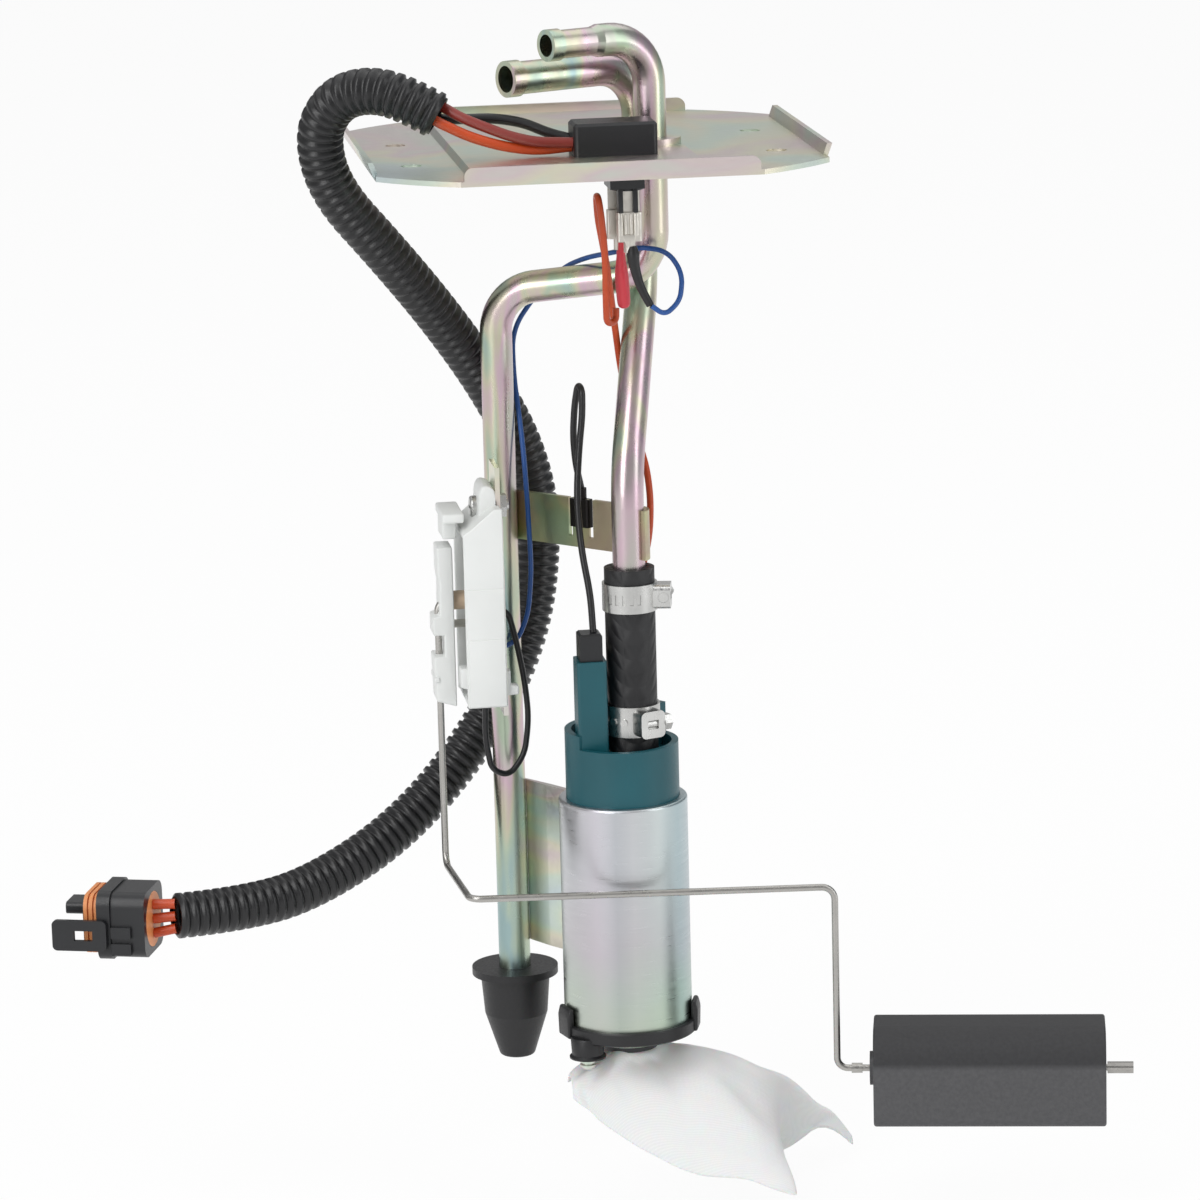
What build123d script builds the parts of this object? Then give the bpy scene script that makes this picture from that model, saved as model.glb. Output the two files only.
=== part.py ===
from build123d import *
import math
import os

os.makedirs("parts", exist_ok=True)

# Fuel pump module, in millimetres. The origin is the centre of the flange plate's underside,
# where the module rests on the tank. +Z is up, out of the tank, and -Y is the module's front.

# ---- Flange plate ----
SHEET = 1.5
PLATE_WIDTH = 130
PLATE_DEPTH = 142
PLATE_RADIUS = 83
RIM_HEIGHT = 5.4
RIM_LENGTH = 84
RIM_CORNER = 2.5
LIP_HEIGHT = 4.8
LIP_LENGTH = 93
LIP_LEAN = 1.8
PAN_WIDTH = 70
PAN_LENGTH = 130
PAN_X = -6
PAN_RISE = 2
PAN_TAPER = 30
BOLT_SPACING_X = 106
BOLT_SPACING_Y = 46.8
BOLT_ROW_Y = -8.7
BOLT_HOLE_RADIUS = 3
PAN_TOP = SHEET + PAN_RISE

# ---- Pipes ----
PIPE_RADIUS = 4.765
PIPE_WALL = 0.9
PIPE_BEND = 14
PIPE_BORE = PIPE_RADIUS - PIPE_WALL
NIPPLE_ANGLE = 27
RETURN_X, RETURN_Y = 18.0, -20.0
RETURN_NIPPLE_Z = 34.8
RETURN_NIPPLE_LENGTH = 35.6
RETURN_NIPPLE_RADIUS = 4.1
SWAGE_LENGTH = 2.2
BEAD_RADIUS = 4.6
BEAD_LENGTH = 4
FEED_X, FEED_Y = 16.5, -6.0
FEED_NIPPLE_Z = 24.6
FEED_NIPPLE_LENGTH = 46
FEED_BEAD_RADIUS = 5.3
FEED_BEND = 34
FEED_BEND_TOP_Z = -40
FEED_BEND_BOTTOM_Z = -91
STAND_X, STAND_Y = -26.5, 0.0
CROSS_RUN_Z = -34.5
CROSS_RUN_DROP = 6.2
COLLAR_RADIUS = 9
COLLAR_THICKNESS = 2
FIT_GAP = 0.05

# ---- Rubber foot under the standpipe ----
FOOT_TOP_Z = -247.5
FOOT_FLANGE_RADIUS = 13
FOOT_FLANGE_THICKNESS = 2.2
FOOT_SHOULDER_RADIUS = 10.5
FOOT_WAIST_RADIUS = 9.5
FOOT_WAIST_Z = -262
FOOT_END_RADIUS = 5.2
FOOT_END_Z = -275.5
STAND_END_Z = -262

# ---- Bulkhead block and its terminals ----
BLOCK_X = 4.6
BLOCK_Y = -38
BLOCK_WIDTH = 24.2
BLOCK_DEPTH = 14
BLOCK_HEIGHT = 9.5
BLOCK_CORNER = 1.6
BOSS_X = 7.6
BOSS_WIDTH = 10
BOSS_DEPTH = 13
BOSS_DROP = 6.2
BLADE_WIDTH = 6.3
BLADE_THICKNESS = 0.8
BLADE_DROP = 16
BLADE_PLACES = [(8.2, -41.4), (6.2, -35)]
TERMINAL_WIDTH = 7.2
TERMINAL_DEPTH = 2.8
TERMINAL_TOP_Z = -13.2
TERMINAL_LENGTH = 8.4
BARREL_RADIUS = 1.7
BARREL_LENGTH = 3.2

# ---- Strap between the standpipe and the feed pipe ----
STRAP_TOP_Z = -101.3
STRAP_HEIGHT = 14.7
STRAP_SHEET = 1.5
TONGUE_PLACE = 26.5
NOTCH_WIDTH = 9.3
NOTCH_DEPTH = 11.5
TONGUE_WIDTH = 6.3

# ---- Hose and clamps ----
HOSE_X, HOSE_Y = 6.6, -35.0
HOSE_RADIUS = 7.4
HOSE_TOP_Z = -118.4
HOSE_BOTTOM_Z = -173
FEED_END_Z = -138
OUTLET_TOP_Z = -152
UPPER_CLAMP_Z = -126.9
UPPER_CLAMP_HEIGHT = 8.2
LOWER_CLAMP_Z = -163.6
LOWER_CLAMP_HEIGHT = 9
UPPER_LUG_ANGLE = -12
LOWER_LUG_ANGLE = -68
CLAMP_BAND = 0.7
UPPER_CLAMP_SLOTS = (-78, -94, -110, -126, -142)
LOWER_CLAMP_DIMPLES = (-116, -141, -168)
DIMPLE_RADIUS = 1.1
CLAMP_SLOT_WIDTH = 1.1
CLAMP_SLOT_HEIGHT = 3
CLAMP_BOX_WIDTH = 8
CLAMP_BOX_DEPTH = 5.4
CLAMP_WINDOW_WIDTH = 3.6
CLAMP_WINDOW_HEIGHT = 2.6
CLAMP_SCREW_RADIUS = 1.5

# ---- Pump ----
PUMP_X, PUMP_Y = 3.1, -35.0
CAN_RADIUS = 19
CAN_WALL = 1
CAN_TOP_Z = -187
CAN_LENGTH = 70
CAN_BOTTOM_Z = CAN_TOP_Z - CAN_LENGTH
CAN_LIP = 1.6
CAP_RADIUS = 16.75
CAP_TOP_Z = -170.4
CAP_CREST_Z = -166.4
CREST_START = 95
CREST_ARC = 120
CAP_SHOULDER = 3
CAP_RIM = 2
CAP_BASE_Z = -193
TOWER_X, TOWER_Y = -6.2, -39.0
TOWER_WIDTH = 8.8
TOWER_DEPTH = 10
TOWER_TOP_Z = -144.5
TOWER_WALL = 1
SOCKET_DEPTH = 8
PLUG_TOP_Z = -136.4
LUG_ANGLE = 40
LUG_RADIUS = 14.6
LUG_TOP_Z = -161.5
SHAFT_RADIUS = 1.6
CORE_RADIUS = 13.2
CORE_LENGTH = 28
CORE_BOTTOM_Z = CAN_BOTTOM_Z + 28
CORE_TOP_Z = CORE_BOTTOM_Z + CORE_LENGTH
CORE_SLOTS = 8
CORE_SLOT_DEPTH = 4.5
CORE_SLOT_WIDTH = 2.4
COMMUTATOR_RADIUS = 8.5
COMMUTATOR_THICKNESS = 2.6
MAGNET_INNER_RADIUS = 14
MAGNET_ARC = 130
MAGNET_MIDDLES = (0, 180)
BRUSH_RADIUS = 2.4
BRUSH_PLACE = 5.4
BRUSH_LENGTH = 6
BRUSH_BORE_DEPTH = 12
IMPELLER_RADIUS = 15
IMPELLER_THICKNESS = 3.6
IMPELLER_TOP_Z = CAN_BOTTOM_Z + 14
IMPELLER_VANES = 24
HOUSING_THICKNESS = 6
SIDE_GAP = 0.3
INLET_RADIUS = 5
VALVE_RADIUS = 2.2
VALVE_LIFT = 1.5
BORE_GAP = 0.08
SEAT_GAP = 0.3

# ---- Isolator, retainer and strainer ----
ISOLATOR_TOP_Z = CAN_BOTTOM_Z + 4
ISOLATOR_RADIUS = 20.6
ISOLATOR_FLOOR = 1.8
ISOLATOR_BOTTOM_Z = CAN_BOTTOM_Z - ISOLATOR_FLOOR
LOBE_TOP_Z = CAN_BOTTOM_Z + 8
LOBE_ANGLES = [196, 344, 90]
EAR_ANGLE = 218
EAR_REACH = 17.6
EAR_RADIUS = 5
EAR_BOTTOM_Z = CAN_BOTTOM_Z - 6.6
PIN_BOTTOM_Z = CAN_BOTTOM_Z - 10
FERRULE_RADIUS = 8.5
FERRULE_BOTTOM_Z = CAN_BOTTOM_Z - 7
SOCK_SECTIONS = [
    # x, then y and drop below the ferrule of the near edge, near crown, ridge, far crown and far edge
    (-15.5, (-46, 10.5), (-44, 7), (-40, 5.5), (-36, 6.5), (-33, 9.5)),
    (-6, (-55, 17), (-47, 6), (-38, 1.2), (-29, 3), (-22, 9)),
    (6, (-61, 24.5), (-51, 7), (-38, 0.4), (-24, 3), (-14, 11)),
    (20, (-65, 30.5), (-52, 11), (-37, 1.4), (-21, 4), (-9, 13.5)),
    (34, (-67, 32), (-52, 17), (-36, 6.5), (-19, 7.5), (-6, 17.5)),
    (46, (-65, 34.5), (-51, 23), (-35, 13), (-18, 13), (-5, 22.5)),
    (58, (-42, 29.5), (-33, 25.5), (-23, 21), (-13, 20.5), (-5, 27.5)),
    (73, (-16, 39), (-13, 37), (-10, 36), (-7, 36.5), (-4, 39)),
]
SOCK_THICKNESS = 3.4

# ---- Cradle between the standpipe and the can ----
CRADLE_TOP_Z = CAN_TOP_Z - 2.5
CRADLE_HEIGHT = 50
CRADLE_SHEET = 1.5
CRADLE_START = 128
CRADLE_END = 50
CRADLE_CREASE = (-16.6, -9.0)

# ---- Level sender ----
SENDER_Y = -18.0
PIVOT_Z = -129.3
SENDER_PLATE_X = -29.6
SENDER_PLATE_SHEET = 1.4
SENDER_PLATE_TOP_Z = -89
SENDER_PLATE_BOTTOM_Z = -162
CASE_FACE_X = -41.5
CASE_WIDTH = 28
CASE_TOP_Z = -103
CASE_BOTTOM_Z = -159.3
CASE_WALL = 1.8
CASE_FLOOR = 2.2
CASE_BOSS_RADIUS = 4.2
LUG_THICKNESS = 5
LUG_WIDTH = 15
CASE_LUG_TOP_Z = -97.0
SHELF_TOP_Z = -105.5
SHELF_THICKNESS = 4.5
SHELF_REACH = 5.6
SHELF_WIDTH = 20
SCREW_Z = -101.5
SCREW_RADIUS = 1.5
SCREW_HEAD_RADIUS = 3.2
SCREW_HEAD_THICKNESS = 1.9
NUT_THICKNESS = 2.4
NUT_FLAT_RADIUS = 3.2
CLIP_Z = CASE_BOTTOM_Z + 3.7
BUSH_RADIUS = 2.8
BUSH_LENGTH = 2.2
CARD_THICKNESS = 0.7
CARD_OUTER_RADIUS = 15.4
CARD_INNER_RADIUS = 10.4
CARD_HALF_ANGLE = 50
CARRIER_FACE_X = -43.8
CARRIER_OUTER_X = -50.2
CARRIER_WIDTH = 11
CARRIER_BOTTOM_Z = -162
CARRIER_TOP_Z = -115
CARRIER_TOP_WIDTH = 8
CARRIER_BRIDGES = ((6, 4), (17, 6.5), (26, 6))
WIPER_RADIUS = 13
WIPER_WIDTH = 2.2
WIPER_SHEET = 0.5
WIPER_ANGLE = 45
WIRE_RADIUS = 1.0
WIRE_GAP = 0.06
WIRE_X = -48.3
WIRE_FOOT_Z = -209.5
WIRE_FRONT_Y = -58.5
WIRE_FRONT_X = -45.5
WIRE_FRONT_END_Z = -212.5
WIRE_DROP_X = 61.8
WIRE_BENDS = [3.2, 4, 3.6, 4, 3.2]
AXLE_ANGLE = -12
AXLE_LENGTH = 87
FLOAT_Z = -268.0
FLOAT_START = 10.8
FLOAT_LENGTH = 68
FLOAT_HEIGHT = 28.8
FLOAT_DEPTH = 28
FLOAT_TOP_RADIUS = 9
FLOAT_EDGE_RADIUS = 3
FLOAT_HUB_RADIUS = 5
FLOAT_HUB_LENGTH = 1.2
CRIMP_START = 4.2
CRIMP_LENGTH = 3.2
CRIMP_RADIUS = 1.5

# ---- Harness: three wires, a corrugated conduit and a connector ----
HARNESS_WIRE = 3.0
CONDUIT_DIAMETER = 13.5
CONDUIT_ROUTE = [
    (-44.9, -33.0, 15.5), (-55.3, -30.3, 21.7), (-65.6, -24.7, 23.2), (-73.8, -18.6, 19.2),
    (-78.4, -13.2, 8.6), (-74.4, -9.0, -8.0), (-58.6, -3.0, -27.0), (-42.2, 7.0, -48.5),
    (-27.0, 15.5, -71.7), (-16.2, 19.0, -94.1), (-12.5, 20.0, -117.5), (-17.0, 19.5, -149.6),
    (-33.0, 15.5, -178.6), (-58.2, 5.0, -203.8), (-88.4, -9.0, -217.6), (-111.5, -21.0, -218.9),
    (-129.5, -26.0, -218.2),
]
RED_WIRE_ROUTE = [
    (-7.5, -42.2, 7.6), (-17.6, -41.4, 8.0), (-24.8, -39.4, 9.6), (-31.9, -37.0, 12.3),
    (-38.4, -34.6, 15.0), (-44.0, -31.6, 18.4),
]
ORANGE_WIRE_ROUTE = [
    (-7.5, -38.4, 6.0), (-17.6, -38.8, 5.3), (-27.4, -38.8, 6.9), (-36.6, -37.2, 9.8),
    (-44.6, -35.6, 13.8),
]
BLACK_WIRE_ROUTE = [
    (-7.5, -34.2, 7.8), (-13.3, -32.6, 9.4), (-20.2, -30.2, 12.4), (-28.5, -28.4, 13.8),
    (-36.6, -28.0, 13.8), (-44.1, -30.2, 14.3),
]
PLUG_ORIGIN = (-136.0, -24.5, -219.0)
PLUG_TURN = 18
PLUG_BODY_LENGTH = 14.2
PLUG_BODY_WIDTH = 21
PLUG_BODY_HEIGHT = 19.6
PLUG_SEAL_LENGTH = 5
PLUG_NOSE_LENGTH = 6
PLUG_NOSE_HEIGHT = 3.6
PLUG_NOSE_WIDTH = 10
PLUG_WIRE_SPACING = 4.4
LATCH_LENGTH = 16.4
LATCH_HEIGHT = 9.2
LATCH_DROP = 2.1
LATCH_THICKNESS = 1.4

# ---- Leads below the plate ----
LEAD = 2.0
ORANGE_LEAD_ROUTE = [
    (4.6, -35.6, -41.8), (4.5, -35.7, -45.6), (1.4, -38.9, -45.8), (1.2, -39.8, -38.6),
    (1.2, -40.6, -26.0), (0.2, -41.8, -14.6), (-0.4, -40.6, -8.9), (-0.4, -36.2, -8.6),
    (0.2, -33.6, -15.6), (3.4, -27.2, -30.6), (6.6, -16.0, -48.6), (9.4, -8.6, -66.0), (12.2, -12.0, -81.7),
    (14.4, -21.4, -91.5), (14.7, -26.4, -100.5), (14.0, -27.4, -111.0), (11.4, -25.4, -123.0),
    (9.4, -24.0, -137.0), (11.2, -24.4, -150.0), (14.3, -25.6, -161.5),
]
BLUE_LEAD_ROUTE = [
    (13.9, -43.0, -40.4), (17.8, -42.6, -43.4), (22.6, -40.6, -39.8), (24.2, -36.4, -32.6),
    (20.6, -31.8, -26.4), (12.6, -29.6, -25.2), (5.6, -23.6, -27.4), (-0.4, -12.0, -30.2),
    (-6.0, -1.0, -34.5), (-13.7, 6.5, -43.6), (-20.6, 9.0, -54.1), (-21.0, 5.2, -66.8),
    (-19.8, -3.6, -87.0), (-19.4, -7.6, -106.0), (-19.0, -8.4, -124.0), (-20.4, -8.6, -137.0),
    (-23.8, -8.4, -144.8), (-29.6, -8.2, -147.2),
]
GROUND_LEAD_ROUTE = [
    (-5.0, -39.0, -136.4), (-5.3, -37.6, -126.0), (-7.2, -33.0, -112.0), (-7.4, -28.4, -98.0),
    (-6.0, -25.4, -85.0), (-4.6, -24.4, -74.6), (-4.4, -23.7, -67.4), (-5.0, -19.3, -66.4),
    (-6.0, -18.2, -72.8), (-6.6, -17.4, -82.0), (-5.9, -16.2, -90.6), (-4.34, -15.16, -98.1),
]
SENDER_LEAD_ROUTE = [
    (-29.6, -13.4, -133.6), (-26.7, -13.1, -135.6), (-24.6, -12.5, -144.0), (-22.4, -11.8, -156.0),
    (-21.4, -11.4, -168.0),
    (-23.0, -11.6, -179.0), (-28.0, -13.2, -184.9), (-33.4, -15.2, -182.2), (-35.2, -16.8, -172.0),
    (-34.8, -17.0, -159.3),
]
SLEEVE_RADIUS = 1.6
RED_SLEEVE = [(6.2, -35.0, -24.8), (4.6, -35.6, -41.8)]
BLACK_SLEEVE = [(8.2, -41.4, -24.8), (13.9, -43.0, -40.4)]


def along(start, angle, distance, height):
    """A point at a distance and an angle in plan from a start (x, y), at a height."""
    return (
        start[0] + distance * math.cos(math.radians(angle)),
        start[1] + distance * math.sin(math.radians(angle)),
        height,
    )


def route_radii(route):
    """The largest arc at each corner of a route: 0.45 of the shorter run beside it."""
    radii = []
    for before, corner, after in zip(route, route[1:], route[2:]):
        run_in = Vector(*corner) - Vector(*before)
        run_out = Vector(*after) - Vector(*corner)
        half_turn = math.radians(run_in.get_angle(run_out)) / 2
        radii.append(0.45 * min(run_in.length, run_out.length) / math.tan(half_turn))
    return radii


def flexible_tube(label, route, diameter):
    """A wire, lead or conduit that follows a route; it prints its arcs and its length."""
    radii = route_radii(route)
    with BuildPart() as tube:
        with BuildLine() as path:
            FilletPolyline(*route, radius=radii)
        with BuildSketch(Plane(origin=path.line @ 0, z_dir=path.line % 0)):
            Circle(diameter / 2)
        sweep()
    length = sum(edge.length for edge in path.line.edges())
    section = math.pi * diameter**2 / 4
    share = tube.part.volume / (section * length)
    print(f"{label}: length {length:.1f}, least radius {min(radii):.1f}, volume share {share:.3f}")
    tube.part.label = label
    export_step(tube.part, f"parts/{label}.step")
    return tube.part


def steel_pipe(corners, bends, outer, inner):
    """A bent pipe through its corners, as a hollow solid."""
    with BuildPart() as pipe:
        with BuildLine() as path:
            FilletPolyline(*corners, radius=bends)
        with BuildSketch(Plane(origin=path.line @ 0, z_dir=path.line % 0)):
            Circle(outer)
            Circle(inner, mode=Mode.SUBTRACT)
        sweep()
    return pipe.part


def nipple_plane(x, y, z, distance):
    """A plane across a nipple, whose normal runs along the nipple to its open end."""
    direction = (-math.cos(math.radians(NIPPLE_ANGLE)), -math.sin(math.radians(NIPPLE_ANGLE)), 0)
    return Plane(origin=along((x, y), 180 + NIPPLE_ANGLE, distance, z), z_dir=direction)


# ---- Flange plate: a pressed sheet with a raised pan, upturned rims and leaning side lips ----
with BuildPart() as flange_plate:
    with BuildSketch():
        Circle(PLATE_RADIUS)
        Rectangle(PLATE_WIDTH, PLATE_DEPTH, mode=Mode.INTERSECT)
    extrude(amount=SHEET)
    with BuildSketch(Plane.XY):
        with Locations((PAN_X, 0)):
            Rectangle(PAN_WIDTH, PAN_LENGTH)
    extrude(amount=PAN_TOP, taper=PAN_TAPER)
    with BuildSketch(Plane.XY):
        with Locations((PAN_X, 0)):
            Rectangle(PAN_WIDTH - 2 * SHEET, PAN_LENGTH - 2 * SHEET)
    extrude(amount=PAN_RISE, taper=PAN_TAPER, mode=Mode.SUBTRACT)
    for side in (1, -1):
        with BuildSketch(Plane.XZ.offset(side * PLATE_DEPTH / 2 - (SHEET if side > 0 else 0))):
            with Locations((0, RIM_HEIGHT / 2)):
                RectangleRounded(RIM_LENGTH, RIM_HEIGHT, RIM_CORNER)
            with Locations((0, RIM_HEIGHT / 4)):
                Rectangle(RIM_LENGTH, RIM_HEIGHT / 2)
        extrude(amount=SHEET)
        with BuildSketch(Plane.XZ):
            with BuildLine():
                Polyline(
                    (side * (PLATE_WIDTH / 2 - SHEET), 0),
                    (side * PLATE_WIDTH / 2, 0),
                    (side * (PLATE_WIDTH / 2 + LIP_LEAN), LIP_HEIGHT),
                    (side * (PLATE_WIDTH / 2 + LIP_LEAN - SHEET), LIP_HEIGHT),
                    close=True,
                )
            make_face()
        extrude(amount=LIP_LENGTH / 2, both=True)
    with BuildSketch(Plane.XY):
        with Locations((0, BOLT_ROW_Y)):
            with GridLocations(BOLT_SPACING_X, BOLT_SPACING_Y, 2, 2):
                Circle(BOLT_HOLE_RADIUS)
        with Locations((RETURN_X, RETURN_Y), (FEED_X, FEED_Y)):
            Circle(PIPE_RADIUS + FIT_GAP)
        with Locations((BOSS_X, BLOCK_Y)):
            Rectangle(BOSS_WIDTH + 2 * FIT_GAP, BOSS_DEPTH + 2 * FIT_GAP)
    extrude(amount=PAN_TOP, mode=Mode.SUBTRACT)
flange_plate.part.label = "flange_plate"
export_step(flange_plate.part, "parts/flange_plate.step")

# ---- Pipe collar: a plate brazed to the pan around both pipes ----
with BuildPart() as pipe_collar:
    with BuildSketch(Plane.XY.offset(PAN_TOP)):
        with Locations((RETURN_X, RETURN_Y), (FEED_X, FEED_Y)):
            Circle(COLLAR_RADIUS)
        make_hull()
        with Locations((RETURN_X, RETURN_Y), (FEED_X, FEED_Y)):
            Circle(PIPE_RADIUS + FIT_GAP, mode=Mode.SUBTRACT)
    extrude(amount=COLLAR_THICKNESS)
pipe_collar.part.label = "pipe_collar"
export_step(pipe_collar.part, "parts/pipe_collar.step")

# ---- Return pipe: swaged nipple, bend over the plate, cross run and long standpipe ----
SWAGE_START = PIPE_BEND + 4
return_top = (RETURN_X, RETURN_Y, RETURN_NIPPLE_Z)
return_corners = [
    tuple(nipple_plane(*return_top, SWAGE_START).origin),
    return_top,
    (RETURN_X, RETURN_Y, CROSS_RUN_Z),
    (STAND_X, STAND_Y, CROSS_RUN_Z - CROSS_RUN_DROP),
    (STAND_X, STAND_Y, STAND_END_Z),
]
return_tube = steel_pipe(return_corners, [PIPE_BEND] * 3, PIPE_RADIUS, PIPE_BORE)
with BuildPart() as return_pipe:
    add(return_tube)
    with BuildSketch(nipple_plane(*return_top, SWAGE_START)):
        Circle(PIPE_RADIUS)
    with BuildSketch(nipple_plane(*return_top, SWAGE_START + SWAGE_LENGTH)):
        Circle(RETURN_NIPPLE_RADIUS)
    loft()
    with BuildSketch(nipple_plane(*return_top, SWAGE_START + SWAGE_LENGTH)):
        Circle(RETURN_NIPPLE_RADIUS)
    extrude(amount=RETURN_NIPPLE_LENGTH - SWAGE_START - SWAGE_LENGTH)
    with BuildSketch(nipple_plane(*return_top, RETURN_NIPPLE_LENGTH - BEAD_LENGTH)):
        Circle(BEAD_RADIUS)
    extrude(amount=BEAD_LENGTH)
    fillet(faces().filter_by(GeomType.CYLINDER).group_by(Axis.X)[0].edges()
           .filter_by(GeomType.CIRCLE), radius=0.4)
    with BuildSketch(nipple_plane(*return_top, SWAGE_START)):
        Circle(RETURN_NIPPLE_RADIUS - PIPE_WALL)
    extrude(amount=RETURN_NIPPLE_LENGTH - SWAGE_START, mode=Mode.SUBTRACT)
return_pipe.part.label = "return_pipe"
export_step(return_pipe.part, "parts/return_pipe.step")

# ---- Feed pipe: beaded nipple and a double bend forward to the hose ----
feed_top = (FEED_X, FEED_Y, FEED_NIPPLE_Z)
feed_corners = [
    tuple(nipple_plane(*feed_top, FEED_NIPPLE_LENGTH).origin),
    feed_top,
    (FEED_X, FEED_Y, FEED_BEND_TOP_Z),
    (HOSE_X, HOSE_Y, FEED_BEND_BOTTOM_Z),
    (HOSE_X, HOSE_Y, FEED_END_Z),
]
feed_tube = steel_pipe(feed_corners, [PIPE_BEND, FEED_BEND, FEED_BEND], PIPE_RADIUS, PIPE_BORE)
with BuildPart() as feed_pipe:
    add(feed_tube)
    with BuildSketch(nipple_plane(*feed_top, FEED_NIPPLE_LENGTH - BEAD_LENGTH)):
        Circle(FEED_BEAD_RADIUS)
        Circle(PIPE_BORE, mode=Mode.SUBTRACT)
    extrude(amount=BEAD_LENGTH)
feed_pipe.part.label = "feed_pipe"
export_step(feed_pipe.part, "parts/feed_pipe.step")

# ---- Rubber foot: a flanged plug that cushions the standpipe's end on the tank floor ----
with BuildPart() as rubber_foot:
    with BuildSketch(Plane.XZ.offset(-STAND_Y)):
        with BuildLine():
            Polyline(
                (STAND_X, FOOT_TOP_Z),
                (STAND_X + FOOT_FLANGE_RADIUS, FOOT_TOP_Z),
                (STAND_X + FOOT_FLANGE_RADIUS, FOOT_TOP_Z - FOOT_FLANGE_THICKNESS),
                (STAND_X + FOOT_SHOULDER_RADIUS, FOOT_TOP_Z - FOOT_FLANGE_THICKNESS),
                (STAND_X + FOOT_WAIST_RADIUS, FOOT_WAIST_Z),
                (STAND_X + FOOT_END_RADIUS, FOOT_END_Z),
                (STAND_X, FOOT_END_Z),
                close=True,
            )
        make_face()
    revolve(axis=Axis((STAND_X, STAND_Y, 0), (0, 0, 1)))
    fillet(edges().sort_by(Axis.Z)[0], radius=1.2)
    with BuildSketch(Plane.XY.offset(FOOT_TOP_Z)):
        with Locations((STAND_X, STAND_Y)):
            Circle(PIPE_RADIUS + FIT_GAP)
    extrude(amount=STAND_END_Z - FOOT_TOP_Z, mode=Mode.SUBTRACT)
rubber_foot.part.label = "rubber_foot"
export_step(rubber_foot.part, "parts/rubber_foot.step")

# ---- Bulkhead block: a moulding on the pan, over a boss that carries the blades through ----
with BuildPart() as bulkhead_block:
    with BuildSketch(Plane.XY.offset(PAN_TOP)):
        with Locations((BLOCK_X, BLOCK_Y)):
            RectangleRounded(BLOCK_WIDTH, BLOCK_DEPTH, BLOCK_CORNER)
    extrude(amount=BLOCK_HEIGHT)
    chamfer(edges().group_by(Axis.Z)[-1], length=0.8)
bulkhead_block.part.label = "bulkhead_block"
export_step(bulkhead_block.part, "parts/bulkhead_block.step")

with BuildPart() as terminal_boss:
    with BuildSketch(Plane.XY.offset(-BOSS_DROP)):
        with Locations((BOSS_X, BLOCK_Y)):
            Rectangle(BOSS_WIDTH, BOSS_DEPTH)
        with Locations(*BLADE_PLACES):
            Rectangle(BLADE_WIDTH + FIT_GAP, BLADE_THICKNESS + FIT_GAP, mode=Mode.SUBTRACT)
    extrude(amount=BOSS_DROP + PAN_TOP)
terminal_boss.part.label = "terminal_boss"
export_step(terminal_boss.part, "parts/terminal_boss.step")

with BuildPart() as spade_blades:
    with BuildSketch(Plane.XY.offset(-BLADE_DROP)):
        with Locations(*BLADE_PLACES):
            Rectangle(BLADE_WIDTH, BLADE_THICKNESS)
    extrude(amount=BLADE_DROP + PAN_TOP)
spade_blades.part.label = "spade_blades"
export_step(spade_blades.part, "parts/spade_blades.step")

# ---- Female terminals: a rolled box on each blade and a crimp barrel over each sleeve ----
with BuildPart() as female_terminals:
    with BuildSketch(Plane.XY.offset(TERMINAL_TOP_Z - TERMINAL_LENGTH)):
        with Locations(*BLADE_PLACES):
            RectangleRounded(TERMINAL_WIDTH, TERMINAL_DEPTH, 0.8)
    extrude(amount=TERMINAL_LENGTH)
    with BuildSketch(Plane.XY.offset(TERMINAL_TOP_Z - TERMINAL_LENGTH - BARREL_LENGTH)):
        with Locations(*BLADE_PLACES):
            Circle(BARREL_RADIUS)
    extrude(amount=BARREL_LENGTH)
    with BuildSketch(Plane.XY.offset(TERMINAL_TOP_Z - TERMINAL_LENGTH / 2)):
        with Locations(*BLADE_PLACES):
            Rectangle(BLADE_WIDTH + FIT_GAP, BLADE_THICKNESS + FIT_GAP)
    extrude(amount=TERMINAL_LENGTH / 2, mode=Mode.SUBTRACT)
female_terminals.part.label = "female_terminals"
export_step(female_terminals.part, "parts/female_terminals.step")


def straight_sleeve(label, ends, radius):
    """A heat-shrink sleeve between two points."""
    start, end = Vector(*ends[0]), Vector(*ends[1])
    with BuildPart() as sleeve:
        with BuildSketch(Plane(origin=start, z_dir=end - start)):
            Circle(radius)
        extrude(amount=(end - start).length)
        fillet(edges().filter_by(GeomType.CIRCLE), radius=0.3)
    sleeve.part.label = label
    export_step(sleeve.part, f"parts/{label}.step")


straight_sleeve("red_sleeve", RED_SLEEVE, SLEEVE_RADIUS)
straight_sleeve("black_sleeve", BLACK_SLEEVE, SLEEVE_RADIUS * 0.75)

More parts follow.
